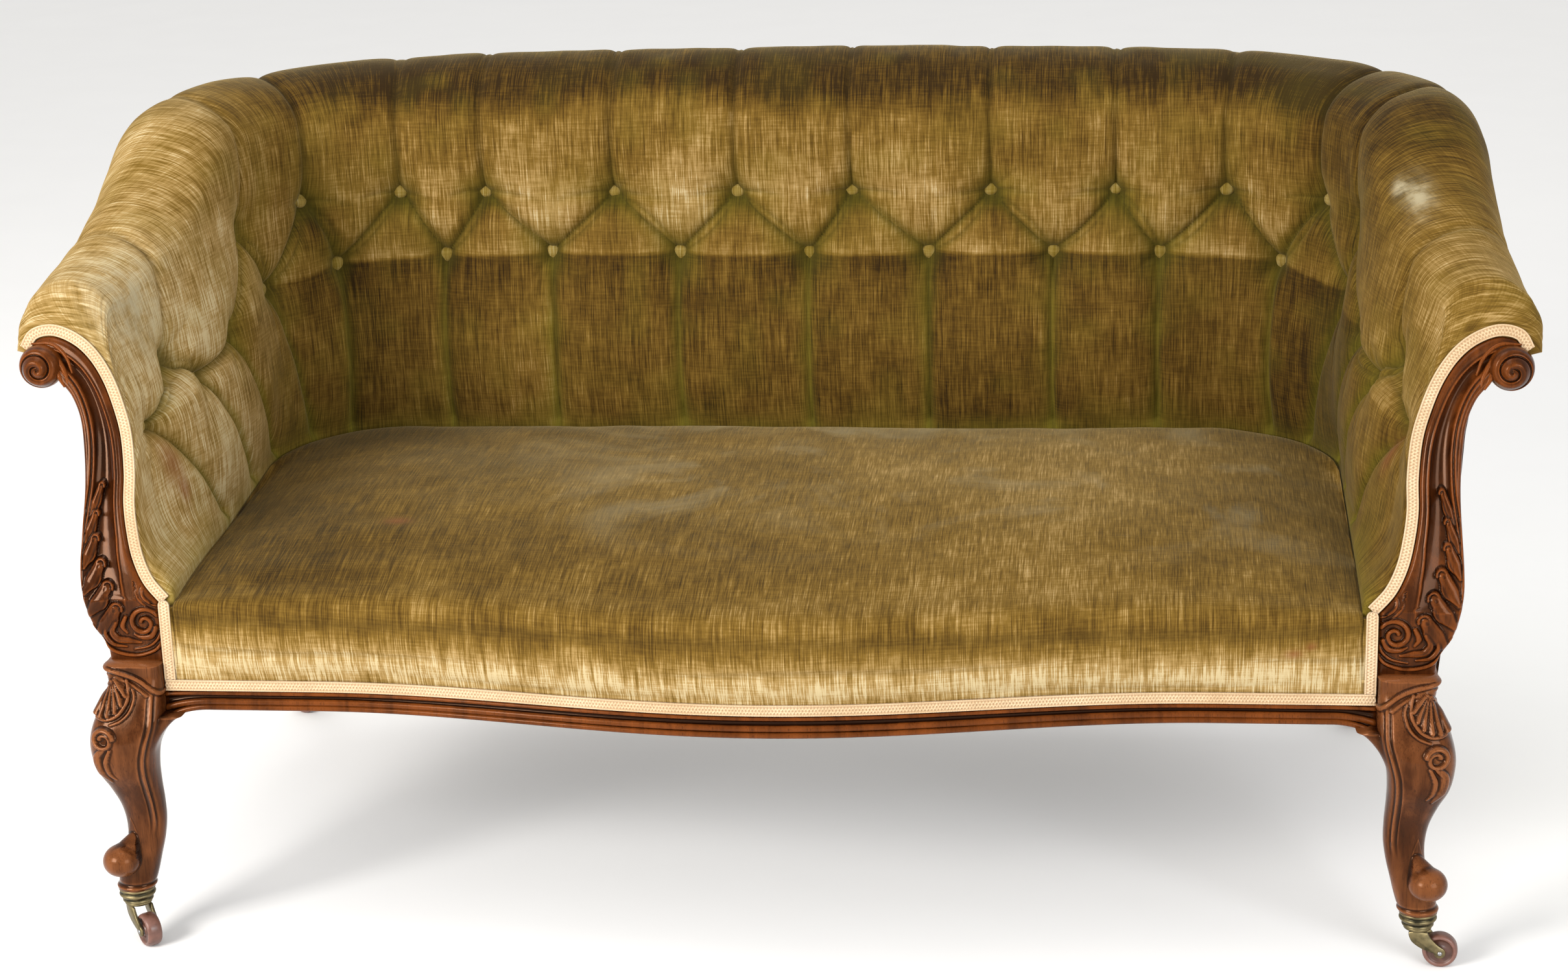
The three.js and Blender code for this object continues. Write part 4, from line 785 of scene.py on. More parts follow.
# Folds as depth at their start, depth at their end and spread
ZIGZAG = (12.0, 12.0, 13.0)
ZIGZAG_BESIDE = (6.0, 6.0, 6.0)
LOW_PLEAT = (11.0, 9.0, 13.0)
ROLL_PLEAT = (7.5, 0.6, 5.0)
HEM = (8.0, 1.5, 9.0)
SEAM_PLEAT = (12.0, 8.0, 16.0)
HEM_SHARE = 0.42
BROAD_SHARE = 0.72
SHARP_SHARE = 0.5
SHARP_SPREAD = 3.4
LINE_SPREAD = 1.7
GREEN_SPREAD = 5.0
SEAM_TUFTS = (-601, 617)
TUFT_FOLDS = 9
# Lowest and highest depth, spread and bow of the fine folds at a tuft
FOLD_RANGES = [(1.6, 4.4), (2.4, 4.2), (-5, 5)]
HANGING_FOLD_RANGES = [(1.4, 3.4), (2.6, 4.4), (-6, 6)]
STATION_STEP = 2.4
FADE_START = 605.0
LIP_RADIUS = 24.0
GATHER_PITCH = 11.0
GATHER_DEPTH = 2.4

# Stains by height and rubbed patches by their way over the roll
STAINS = [(-1004, 470, 8, 14), (-1012, 505, 16, 26), (1008, 520, 12, 20)]
WORN_SPOTS = [(856, 128, 24, 15), (834, 112, 11, 9), (-985, 90, 60, 60)]


def slanted(along, reach):
    """Where a pleat that starts at a length along the wall ends, leaning towards the middle at the corners."""
    share = held((abs(along) - SLANT_START) / (ARM_START - SLANT_START))
    return along - math.copysign(reach * share, along)


def wall_creases(row_climb):
    """Creases as (start, end, depth at start, depth at end, spread, bow) on the unrolled face."""
    random = np.random.default_rng(29)
    tufts = sorted([(s, "low") for s in LOW_TUFTS] + [(s, "top") for s in TOP_TUFTS])

    def spot(s, row):
        return s, row_climb(row, s)

    creases = []
    for before, after in zip(tufts, tufts[1:]):
        falls = 1 if before[1] == "top" else -1
        creases.append((spot(*before), spot(*after), *ZIGZAG, random.uniform(-3, 3)))
        creases.append((spot(*before), spot(*after), *ZIGZAG_BESIDE, falls * random.uniform(6, 12)))
    for s in LOW_TUFTS:
        end = spot(slanted(s, LOW_PLEAT_SLANT), "seat")
        creases.append((spot(s, "low"), end, *LOW_PLEAT, random.uniform(-4, 4)))
    for s in TOP_TUFTS:
        end, finish = spot(slanted(s, ROLL_PLEAT_SLANT), "end")
        if s in SEAM_TUFTS:
            creases.append((spot(s, "top"), (end, finish), *SEAM_PLEAT, 0.0))
            continue
        for side in (-1, 1):
            apart = side * random.uniform(3, 9)
            creases.append((spot(s, "top"), (end + apart, finish), *ROLL_PLEAT, side * random.uniform(0, 3)))
    for here, after in zip(TOP_TUFTS, TOP_TUFTS[1:]):
        if abs(here) < SLANT_START and abs(after) < SLANT_START:
            for s, way in ((here, 1), (after, -1)):
                reach = way * HEM_SHARE * (after - here)
                end = (s + reach, row_climb("top", s) - random.uniform(2, 9))
                creases.append((spot(s, "top"), end, *HEM, way * random.uniform(2, 5)))
    return creases, [spot(*tuft) for tuft in tufts]


def wrinkles(spots, seed):
    """Short fine folds that run out of each tuft, and a longer one hanging on each side."""
    random = np.random.default_rng(seed)
    folds = []

    def add(start, run, ranges):
        depth, spread, bow = (random.uniform(*ends) for ends in ranges)
        folds.append((start, start + run, depth, 0.0, spread, bow))

    for along, climb in spots:
        for _ in range(TUFT_FOLDS):
            angle = random.uniform(0, 2 * math.pi)
            length = random.uniform(24, 62)
            run = np.array([math.cos(angle), math.sin(angle) * 1.25]) * length
            add(np.array([along, climb]) + run * 0.14, run, FOLD_RANGES)
        for side in (-1, 1):
            start = np.array([along + side * random.uniform(3, 8), climb])
            run = np.array([side * random.uniform(4, 22), -random.uniform(50, 110)])
            add(start, run, HANGING_FOLD_RANGES)
    return folds


def crease_depth(along, climb, creases, sharpness=3.0):
    """How deep the folds draw the cloth in at each point."""
    total = np.zeros_like(along)
    for start, end, deep, shallow, spread, bow in creases:
        (a0, c0), (a1, c1) = start, end
        reach = spread * 5 + abs(bow)
        near = (along > min(a0, a1) - reach) & (along < max(a0, a1) + reach)
        near &= (climb > min(c0, c1) - reach) & (climb < max(c0, c1) + reach)
        a, c = along[near], climb[near]
        length = math.hypot(a1 - a0, c1 - c0)
        run = np.array([a1 - a0, c1 - c0]) / length
        gone = (a - a0) * run[0] + (c - c0) * run[1]
        share = held(gone / length)
        aside = (c - c0) * run[0] - (a - a0) * run[1] - 4 * bow * share * (1 - share)
        away = np.hypot(aside, gone - share * length)
        depth = mix(deep, shallow, share) * np.exp(-away / spread)
        total[near] += depth**sharpness
    return total ** (1 / sharpness)


def wall_piece(material):
    """The buttoned wall in one mesh, and the place and direction of each button on it."""
    steps = 2 * round(WALL_HALF_LENGTH / STATION_STEP)
    nominal = np.linspace(-WALL_HALF_LENGTH, WALL_HALF_LENGTH, steps + 1)[:, None]
    along = np.repeat(nominal, len(COLUMNS), 1)
    share = held((np.abs(nominal) - FADE_START) / (WALL_HALF_LENGTH - FADE_START))
    # The stations move until the wall ends in the raked plane of the facing
    for _ in range(4):
        out, up = wall_face(along)
        shift = (along_at_face(up, GIMP_THICKNESS + CLEARANCE) - WALL_HALF_LENGTH) * share**3
        along = nominal + np.sign(nominal) * shift
    climb = np.concatenate([np.zeros((len(along), 1)), np.cumsum(np.hypot(np.diff(out), np.diff(up)), 1)], 1)
    behind = np.abs(WALL_HALF_LENGTH - np.abs(nominal)) + 0 * along

    def row_climb(row, s):
        return float(np.interp(s, along[:, COLUMN_OF[row]], climb[:, COLUMN_OF[row]]))

    # Tufts, folds and lumps move each point of the face square to its section
    creases, spots = wall_creases(row_climb)
    away = np.min([np.hypot(along - a, climb - c) for a, c in spots], 0)
    folds = BROAD_SHARE * crease_depth(along, climb, creases)
    folds += crease_depth(along, climb, narrowed(creases, SHARP_SHARE, SHARP_SPREAD))
    # A thin line of painted shade along each crease
    crease_shade_mark = crease_depth(along, climb, narrowed(creases, 0.1, LINE_SPREAD))
    green_mark = crease_depth(along, climb, narrowed(creases, 0.04, GREEN_SPREAD))
    dip = folds + TUFT_DEPTH * np.exp(-((away / TUFT_SPREAD) ** 1.5))
    small = crease_depth(along, climb, wrinkles(spots, 7), 2.0)
    lumps = 1.8 * value_noise(along, climb, 80, 1) + 0.7 * value_noise(along, climb, 27, 2)
    tucked = held((climb - climb[:, [COLUMN_OF["seat"]]]) / 14)
    swell = (lumps - dip - small - gather_depth(climb, behind)) * tucked
    run_out, run_up = np.gradient(out, axis=1), np.gradient(up, axis=1)
    length = np.hypot(run_out, run_up) + 1e-9
    out2, up2 = out - swell * run_up / length, up + swell * run_out / length

    # The front edge is rounded down to the line of the braid
    line = gimp_section(climb)
    ease = held(behind / LIP_RADIUS)
    ease = np.sqrt(1 - (1 - ease) ** 2)
    ease = np.where(np.arange(len(COLUMNS))[None, :] >= COLUMN_OF["seat"], ease, 1)
    out2, up2 = mix(line[0], out2, ease), mix(line[1], up2, ease)
    eased = np.where(ease < 1, along_with_face(np.abs(along), up2, behind), np.abs(along))
    along = np.where(nominal < 0, -1, 1) * eased

    # The hidden back closes the wall behind
    lining_out, lining_up = wall_lining(wall_shape(nominal[:, 0]), up2[:, -1])
    spare = np.zeros_like(lining_out)
    lining_along = along[:, -1:] + spare
    lining_along[:, -1] = along[:, 0]
    all_along = np.concatenate([along, lining_along], 1)
    points = wall_place(all_along, np.concatenate([out2, lining_out], 1), np.concatenate([up2, lining_up], 1))

    above_fade = np.exp(-np.clip(climb - climb[:, [COLUMN_OF["top"]]], 0, None) / 40)
    marks = {
        "fold": held(green_mark * above_fade + wall_green(along, climb, away)),
        # Painted shade along the creases and in the hollow round each button
        "crease": held(crease_shade_mark + 0.7 * np.exp(-((away / 13) ** 4))),
        "stain": spot_mark(along, up, STAINS),
        "worn": spot_mark(along, climb - climb[:, [COLUMN_OF["top"]]], WORN_SPOTS),
        # Painted light and shade over the wall
        "light": wall_painted_light(along, climb, behind, dip),
    }
    marks = {name: np.concatenate([values, spare], 1) for name, values in marks.items()}
    uv = np.stack([all_along, np.concatenate([climb, climb[:, -1:] + spare], 1)], -1).reshape(-1, 2)
    piece = face_out(piece_of("wall_upholstery", *lofted(points), material, "velvet", uv, marks))
    return piece, [button_spot(a, c, along, climb, out2, up2) for a, c in spots]


def narrowed(creases, share, spread):
    """The same creases, shallower and with another spread."""
    return [(a, b, deep * share, shallow * share, spread, bow) for a, b, deep, shallow, _, bow in creases]


def wall_lining(w, last_up):
    """The hidden back of the wall, round the top of the core and down its inner side."""
    top = w["core_top"] + CLEARANCE
    outer = CORE_OUT + CORE_LEAN_SHARE * (w["core_top"] - RAIL_TOP) + CORE_THICKNESS + w["swell"] + CLEARANCE
    inner, foot = (CORE_OUT + CORE_LEAN_SHARE * (up - RAIL_TOP) - 2 - CLEARANCE for up in (top, PAD_BOTTOM))
    out = np.stack([outer, outer, inner, foot + 0 * top], 1)
    return out, np.stack([np.minimum(last_up, top - 4), top, top, PAD_BOTTOM + 0 * top], 1)


def spot_mark(along, height, spots):
    """Soft-edged spots as (along, height, half length, half height)."""
    parts = [np.exp(-(((along - a) / p) ** 2) - ((height - h) / q) ** 2) for a, h, p, q in spots]
    return held(np.sum(parts, 0))


def along_with_face(along, up, behind):
    """Keeps the rounded front edge in the raked plane of the facing."""
    target = along_at_face(up, GIMP_THICKNESS + CLEARANCE) - behind
    near = held(1 - behind / LIP_RADIUS)
    return mix(along, target, near)


def gather_depth(climb, behind):
    """Small pleats where the cloth is gathered to the facing."""
    random = np.random.default_rng(11)
    spots = np.cumsum(random.uniform(0.6, 1.4, 60) * GATHER_PITCH) + climb[0, COLUMN_OF["low"]]
    depth = np.zeros_like(climb)
    for spot in spots[spots < climb[0, -1]]:
        lean = random.uniform(-0.25, 0.25)
        reach = random.uniform(22, 52)
        fade = held(1 - behind / reach)
        pleat = np.exp(-np.abs(climb - spot - lean * behind) / 2.6)
        depth += random.uniform(0.5, 1.0) * GATHER_DEPTH * fade * pleat
    return depth


def gimp_section(climb):
    """The line of the braid's far edge, as way out and height for each column of the face."""
    first = climb[:, [COLUMN_OF["seat"]]]
    share = held((climb - first) / (climb[:, -1:] - first))
    at = np.linspace(0, 1, 200)
    line = beside_gimp(at, -GIMP_WIDTH / 2 + CLEARANCE)
    return np.interp(share, at, line[:, 0]) - SEAT_HALF_WIDTH, np.interp(share, at, line[:, 1])


def wall_painted_light(along, climb, behind, dip):
    """Painted light and shade, partly the pile's wear: paler over the roll and on the crowns, darker at the crest.
    """
    top, low = climb[:, [COLUMN_OF["top"]]], climb[:, [COLUMN_OF["low"]]]
    # Painted light: paler on the roll, between the rows and on the left arm; painted shade at the crest, partly
    # the pile, and on the right shoulder
    roll = held((climb - top) / 60)
    between = held((climb - low + 2) / 5) * (1 - roll)
    ragged = 14 * value_noise(along, climb, 60, 63) + 7 * value_noise(along, climb / 4, 11, 64)
    crest = held((climb - top - 88 + ragged) / 40)
    arm = held((np.abs(along) - 560) / 160)
    between = between * (1 - 0.75 * arm) + 0.35 * arm * (1 - roll)
    left = held((-along - 620) / 260)
    right = 0.09 * held((along - 840) / 120) * roll - 0.3 * bell(along - 720, 130)
    light = 0.36 + 0.14 * roll + 0.33 * between - 0.44 * crest * (1 - arm) + 0.32 * left + right
    light += 0.06 * value_noise(along, climb, 120, 61) + 0.05 * value_noise(along, climb, 38, 62)
    # Painted shade beside the braid, where the wall meets the facing
    light -= 0.16 * np.exp(-behind / 12) * (0.6 + 0.4 * value_noise(behind, climb, 30, 66))
    # Painted shade low on the right arm
    light -= 0.07 * (along > SLANT_START) * (climb < low)
    # Painted shade of the panels below the low row and painted shadow under the roll
    light += panel_painted_light(along, climb, low) * (1 - arm) + hem_painted_shadow(along, climb, top)
    # Painted shade deepens in the dips
    return held(light - 0.012 * np.clip(dip - 3, 0, 20))


def wall_green(along, climb, away):
    """Where the pile is still green, round the buttons and next to the seat, and green painted light beside each
    pleat.
    """
    seat, low = climb[:, [COLUMN_OF["seat"]]], climb[:, [COLUMN_OF["low"]]]
    fallen = held((low - climb) / (low - seat))
    green = 0.7 * np.exp(-away / 11) + 0.45 * np.exp(-np.clip(climb - seat, 0, None) / 20)
    green += 0.14 * np.exp(-away / 34) * (climb > low)
    # Painted light of the nap: a green band beside each pleat, wide on its left, narrow on its right
    for s in LOW_TUFTS:
        end = slanted(s, LOW_PLEAT_SLANT)
        beside = along - mix(s, end, fallen)
        shade = np.where(beside < 0, 0.75 * np.exp(beside / 7), 0.3 * np.exp(-beside / 3))
        green += shade * (climb < low) * (0.3 + 0.7 * fallen)
    return green + 0.14 * value_noise(along, climb, 34, 65)


def panel_painted_light(along, climb, low):
    """Below the low row each panel gets painted shade at its left and under the ridge, and painted light at its
    right.
    """
    under = held((low - climb) / 4)
    light = -0.14 * np.exp(-(low - climb) / 28) * under
    for s in LOW_TUFTS:
        away = along - s
        if abs(s) < SLANT_START:
            light += under * np.where(away > 0, -0.12 * np.exp(-away / 24), 0.16 * np.exp(away / 9))
    return light


def hem_painted_shadow(along, climb, top):
    """Under the roll each top button throws a painted shadow, longer to the right, and painted shade below it."""
    below = top - climb
    light = np.zeros_like(climb)
    for s in TOP_TUFTS:
        if abs(s) < SLANT_START:
            away = along - s
            reach = np.where(away > 0, 34.0, 18.0)
            # Painted shadow under the roll's hem, beside each top button
            light -= 0.4 * np.exp(-np.abs(away) / reach) * np.exp(-np.abs(below - 9) / 9) * (below > 0)
            # Painted shade in the tent below each top button
            tent = held(1 - np.abs(away) / (8 + 0.8 * np.clip(below, 0, None))) ** 0.5
            light -= 0.26 * tent * (below > 0) * held((78 - below) / 30)
    return light


def button_spot(a, c, along, climb, out, up):
    """The wall's point and its direction outwards, nearest to a place on the unrolled face."""
    i, j = np.unravel_index(np.argmin(np.hypot(along - a, climb - c)), along.shape)
    i0, i1 = max(i - 6, 0), min(i + 6, len(along) - 1)
    j0, j1 = j - 6, min(j + 6, along.shape[1] - 1)

    def place(m, n):
        return wall_place(along[m, n], out[m, n], up[m, n])

    return place(i, j), units(np.cross(place(i1, j) - place(i0, j), place(i, j1) - place(i, j0)))


# The braid's line on each facing

# Shares of a facing's width and of its rise above the notch, from the notch to the scroll
GIMP_ACROSS = [0, 0.11, 0.18, 0.22, 0.245, 0.245, 0.27, 0.325, 0.4, 0.5, 0.62, 0.77, 0.9, 0.96]
GIMP_UP = [0, 0.07, 0.153, 0.245, 0.354, 0.474, 0.613, 0.723, 0.825, 0.91, 0.968, 1, 0.985, 0.93]
FACING_WIDTH = SCROLL_REACH - GIMP_AT_NOTCH
FACING_RISE = SCROLL_TOP - NOTCH_HEIGHT
GIMP_POINTS = 400


def facing_point(across, up):
    """Points on a facing, from shares of its width and its rise above the notch."""
    x, z = GIMP_AT_NOTCH + FACING_WIDTH * np.asarray(across), NOTCH_HEIGHT + FACING_RISE * np.asarray(up)
    return np.stack(np.broadcast_arrays(x, z), -1)


GIMP_LINE = spline(facing_point(GIMP_ACROSS, GIMP_UP), GIMP_POINTS)


def beside_gimp(share, offset):
    """Points of the gimp line, moved sideways towards the wood."""
    at = np.linspace(0, 1, len(GIMP_LINE))
    x, z = (np.interp(share, at, GIMP_LINE[:, k]) for k in (0, 1))
    run = units(np.gradient(GIMP_LINE, axis=0))
    run_x, run_z = (np.interp(share, at, run[:, k]) for k in (0, 1))
    return np.stack([x + run_z * offset, z - run_x * offset], -1)


# Buttons

BUTTON_RADIUS = 9.5
BUTTON_RISE = 6.5
BUTTON_LIFT = 6.0
BUTTON_RINGS = 12
BUTTON_FACETS = 24


def buttons_piece(spots, material):
    """Domed buttons of the same velvet, each with its place and direction outwards."""
    turns = np.linspace(math.pi * 0.62, 0.02, BUTTON_RINGS)
    profile = [(BUTTON_RADIUS * math.sin(a), BUTTON_RISE * math.cos(a)) for a in turns]
    dome, faces = turned(profile, BUTTON_FACETS)
    parts, uv = [], []
    for place, normal in spots:
        side = units(np.cross([0, 0, 1.0], normal))
        above = np.cross(normal, side)
        parts.append((place + BUTTON_LIFT * normal + dome @ np.array([side, above, normal]), faces))
        uv.append(dome[:, :2] + place[:1])
    points, faces = joined(parts)
    up_dome = np.repeat(np.linspace(0, 1, BUTTON_RINGS), BUTTON_FACETS)
    rim = held(1 - np.tile(up_dome, len(spots)) * 2.5)
    # Painted shade at each button's rim, where it sits in the cloth
    marks = {"fold": 0 * rim + 0.55, "light": 0 * rim + 0.72, "crease": rim * 0.8}
    marks["stain"] = marks["worn"] = 0 * rim
    return face_out(piece_of("buttons", points, faces, material, "velvet", np.concatenate(uv), marks))


# Seat

SEAT_CROWN = 431.0
SEAT_FRONT_EDGE = 396.0
SEAT_BACK_EDGE = 414.0
SEAT_BULGE = 20.0
SEAT_BORDER_STEP = 4.0
SEAT_GAP = 2.0
UPRIGHT_INNER = GIMP_AT_NOTCH - GIMP_WIDTH / 2
SEAT_DEPTH_SHARES = [0.06, 0.14, 0.28, 0.46, 0.66, 0.84, 0.95]
SEAT_CROWN_SHARES = [0.3, 0.55, 0.85, 1, 0.9, 0.62, 0.25]
SEAT_SECTION_POINTS = 220
SEAT_STATIONS = 340
# Stains by their place across and their way up the border and back over the top
SEAT_STAINS = [(560, 62, 9, 5), (578, 70, 5, 4), (-420, 300, 14, 10)]


def rail_front(x):
    """How far back the bowed front of the rail is."""
    share = np.minimum(1, np.abs(x) / RAIL_BOW_REACH)
    return RAIL_END_FRONT - RAIL_BOW * (1 + np.cos(math.pi * share)) / 2


def seat_back_at(x):
    """How far back the seat reaches, less at its round corners."""
    past = np.maximum(0, np.abs(x) - STRAIGHT_BACK)
    reach = CORNER_RADIUS - SEAT_GAP
    return CORNER_CENTRE_Y + np.sqrt(np.maximum(0, reach**2 - past**2))


def seat_section(x, back):
    """Front border and top of the seat at one place across, from the rail to the back."""
    border = rail_front(x) + RAIL_REBATE - SEAT_BORDER_STEP - CLEARANCE
    half = SEAT_HALF_WIDTH - SEAT_GAP
    full = 1 - min(1, abs(x) / half) ** 8
    bulge = SEAT_BULGE * mix(0.25, 1, full) * np.sqrt(held((UPRIGHT_INNER - abs(x)) / 14))
    edge = mix(NOTCH_HEIGHT - GIMP_WIDTH / 2, SEAT_FRONT_EDGE, full)
    crown = mix(SEAT_LINE - 8, SEAT_CROWN, full)
    low = RAIL_SHOW_TOP + GIMP_WIDTH
    section = [
        (border, RAIL_SHOW_TOP + CLEARANCE),
        (border, low),
        (border - bulge * 0.62, mix(low, edge, 0.24)),
        (border - bulge, mix(low, edge, 0.56)),
        (border - bulge * 0.9, mix(low, edge, 0.82)),
        (border - bulge * 0.3, edge + 2),
    ]
    for share, rise in zip(SEAT_DEPTH_SHARES, SEAT_CROWN_SHARES):
        base = mix(edge, SEAT_BACK_EDGE, share)
        section.append((mix(border, back, share), base + (crown - base) * rise))
    section += [(back - 3, SEAT_BACK_EDGE - 5), (back, SEAT_BACK_EDGE - 16)]
    return spline(section, SEAT_SECTION_POINTS)


def seat_piece(material):
    """The sprung seat: its border and crowned top, and a flat underside on the rail."""
    half = SEAT_HALF_WIDTH - SEAT_GAP
    reach = GIMP_AT_NOTCH + GIMP_WIDTH / 2 - CLEARANCE
    inside = np.linspace(-half, half, SEAT_STATIONS)
    stations = np.concatenate([[-reach, -reach + 4, -half - 0.6], inside, [half + 0.6, reach - 4, reach]])
    rings, uv, marks = [], [], {"light": [], "water": [], "crease": [], "stain": []}
    for x in stations:
        corner = abs(x) > half
        back = FACING_DEPTH - 2 if corner else float(seat_back_at(x))
        section = seat_section(x, back)
        if corner:
            section[:, 1] = np.minimum(section[:, 1], NOTCH_HEIGHT - GIMP_WIDTH / 2)
        climb = way_along(section)
        across = np.full_like(climb, x)
        run = units(np.gradient(section, axis=0))
        inwards = half - abs(x)
        sag = 2.2 * value_noise(across, climb, 150, 21) + 0.8 * value_noise(across, climb, 45, 22)
        for way in (climb, climb[-1] - climb, inwards):
            sag = sag * held(way / 30)
        line = border_crease(x, climb)
        sag = sag - line * held(inwards / 60)
        y, z = section[:, 0] - run[:, 1] * sag, section[:, 1] + run[:, 0] * sag
        rebate = rail_front(x) + RAIL_REBATE
        under = [(x, back, PAD_BOTTOM), (x, rebate + 1, PAD_BOTTOM), (x, rebate - 1, RAIL_SHOW_TOP + CLEARANCE)]
        rings.append(np.concatenate([np.stack([across, y, z], 1), under]))
        uv.append(np.concatenate([np.stack([across, climb], 1), [(x, 0)] * len(under)]))
        shown = {
            # Painted light and shade on the seat
            "light": (seat_painted_light(x, climb, section), 0.5),
            "water": (held((section[:, 0] - 60) / 160) * held((x + 420) / 300), 0),
            # Painted shade along the border's sag line
            "crease": (0.3 * held(line - 0.5), 0),
            "stain": (spot_mark(across, climb, SEAT_STAINS), 0),
        }
        for name, (values, below) in shown.items():
            marks[name].append(np.concatenate([values, [below] * len(under)]))
    rings = np.array(rings)
    marks = {name: np.array(values) for name, values in marks.items()}
    marks["fold"] = marks["worn"] = np.zeros(rings.shape[:2])
    return face_out(piece_of("seat_upholstery", *lofted(rings), material, "velvet", np.concatenate(uv), marks))


def border_crease(x, climb):
    """A shallow sag line that crosses the border, one at the front edge and one at the foot."""
    low = 54 + 4 * math.sin(x / 190) + 2 * math.sin(x / 61 + 1)
    high = 88 + 3 * math.sin(x / 230 + 2)
    shown = 0.55 + 0.45 * math.sin(x / 97 + 0.6)
    foot = 21 + 3 * math.sin(x / 83)
    lines = 2.6 * shown * bell(climb - low, 3.6) + 1.4 * bell(climb - high, 9)
    return lines + 1.5 * (1 - shown) * bell(climb - foot, 3)


def seat_painted_light(x, climb, section):
    """Painted light and shade on the seat: pale low on the border, dark over the front edge and at the very back.
    """
    border = held(1 - np.abs(climb - 34) / 58)
    edge = bell(climb - 84, 20)
    top = held((climb - 100) / 60)
    back = held((section[:, 0] - 470) / 100)
    # Painted shade on the left and painted light on the right of the seat
    left = held((-x - 150) / 350) * top
    right = bell(x - 260, 190) * top
    drift = 0.06 * value_noise(x + 0 * climb, climb, 130, 51) + 0.04 * value_noise(x + 0 * climb, climb, 37, 52)
    light = 0.54 + 0.46 * border - 0.12 * edge - 0.2 * back * top - 0.17 * left + 0.12 * right - 0.06 * top
    return held(light + drift)


# Braid

BRAID_PITCH = 7.0
BRAID_STEP = 0.9
BRAID_COLUMNS = 15
RAIL_BRAID_POINTS, POST_BRAID_POINTS, ARM_BRAID_POINTS = 600, 40, 300


def braid_relief(u, v):
    """Height of the braid, two corded edges and a row of small scrolls between, and painted shade for its hollows.
    """
    edge = bell(np.abs(v) - 0.86, 0.13)
    wave = 0.42 * np.sin(2 * math.pi * u / BRAID_PITCH)
    scroll, answer = bell(v - wave, 0.2), bell(v + wave, 0.2)
    cords = edge * (0.8 + 0.2 * np.cos(2 * math.pi * u / 2.4 + 2 * v))
    height = np.maximum.reduce([cords, scroll * 0.9, answer * 0.75])
    return height, 1 - held(height * 1.3)


def braid_strip(path, across, proud, rounded=False):
    """A strip of braid along a path; across and proud are the unit ways over its width and out of its face."""
    lengths = way_along(path)
    spots = np.arange(0, lengths[-1], BRAID_STEP)
    path, across, proud = (at_lengths(spots, lengths, values) for values in (path, across, proud))
    if rounded:
        past = np.clip((spots - lengths[-1] + GIMP_WIDTH / 2) / (GIMP_WIDTH / 2), 0, 0.98)
        across = across * np.sqrt(1 - past**2)[:, None]
    v = np.linspace(-1, 1, BRAID_COLUMNS)
    height, hollow = braid_relief(spots[:, None], v[None, :])
    half = GIMP_WIDTH / 2 - CLEARANCE / 2
    face = path[:, None] + across[:, None] * (v * half)[None, :, None]
    face = face + proud[:, None] * (GIMP_THICKNESS * (0.35 + 0.65 * height))[..., None]
    back = path[:, None] + across[:, None] * np.array([1.0, -1.0])[None, :, None] * half
    uv = np.broadcast_arrays(spots[:, None], np.append(v, [1, -1]) * GIMP_WIDTH / 2)
    hollows = np.concatenate([hollow, np.ones((len(spots), 2))], 1)
    return np.concatenate([face, back], 1), np.stack(uv, -1), hollows


def braid_piece(name, strips, material, *nodes):
    """One piece of several strips, which stands for the nodes."""
    points, faces = joined([lofted(rings) for rings, _, _ in strips])
    uv = np.concatenate([uv.reshape(-1, 2) for _, uv, _ in strips])
    # Painted shade in the braid's hollows, full on its hidden back
    marks = {"hollow": np.concatenate([hollow.ravel() for _, _, hollow in strips])}
    piece = face_out(piece_of(name, points, faces, material, "braid", uv, marks))
    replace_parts(piece, *nodes)
    return piece


def seat_braid(material):
    """The braid along the top of the rail and up beside each arm."""
    height = RAIL_SHOW_TOP + GIMP_WIDTH / 2
    end = GIMP_AT_NOTCH + GIMP_WIDTH / 2 - CLEARANCE

    def border(x):
        return rail_front(x) + RAIL_REBATE - SEAT_BORDER_STEP - 2 * CLEARANCE

    x = np.linspace(-end, end, RAIL_BRAID_POINTS)
    foot = np.stack([x, border(x), np.full_like(x, height)], 1)
    up = np.tile([0.0, 0.0, 1.0], (len(x), 1))
    strips = [braid_strip(foot, up, np.cross(units(np.gradient(foot, axis=0)), up))]
    z = np.linspace(height + GIMP_WIDTH / 2, NOTCH_HEIGHT + 2, POST_BRAID_POINTS)
    across, proud = np.tile([1.0, 0.0, 0.0], (len(z), 1)), np.tile([0.0, -1.0, 0.0], (len(z), 1))
    for side in (-1, 1):
        post = np.stack([np.full_like(z, side * GIMP_AT_NOTCH), np.full_like(z, border(GIMP_AT_NOTCH)), z], 1)
        strips.append(braid_strip(post, across, proud, rounded=True))
    braid_piece("seat_braid", strips, material, "seat_front_gimp")


def arm_braid(material, side):
    """The braid over an arm facing."""
    share = np.linspace(0, 1, ARM_BRAID_POINTS)

    def line(offset):
        x, z = beside_gimp(share, offset).T
        return np.stack([x, face_y(z) + GIMP_THICKNESS, z], 1)

    path = line(0)
    across = units(line(1) - line(-1))
    proud = np.cross(units(np.gradient(path, axis=0)), across)
    proud = units(proud * np.where(proud[:, 1:2] > 0, -1, 1))
    mirror = np.array([side, 1, 1])
    name = SIDE_NAMES[side]
    strip = braid_strip(path * mirror, across * mirror, proud * mirror)
    braid_piece(f"{name}_arm_braid", [strip], material, f"{name}_arm_gimp")


# Carving: low relief in the plane of the arm facings and the legs, as ridges along paths


def soft_step(value, low, high):
    """A smooth rise from 0 at low to 1 at high."""
    t = held((value - low) / (high - low))
    return t * t * (3 - 2 * t)


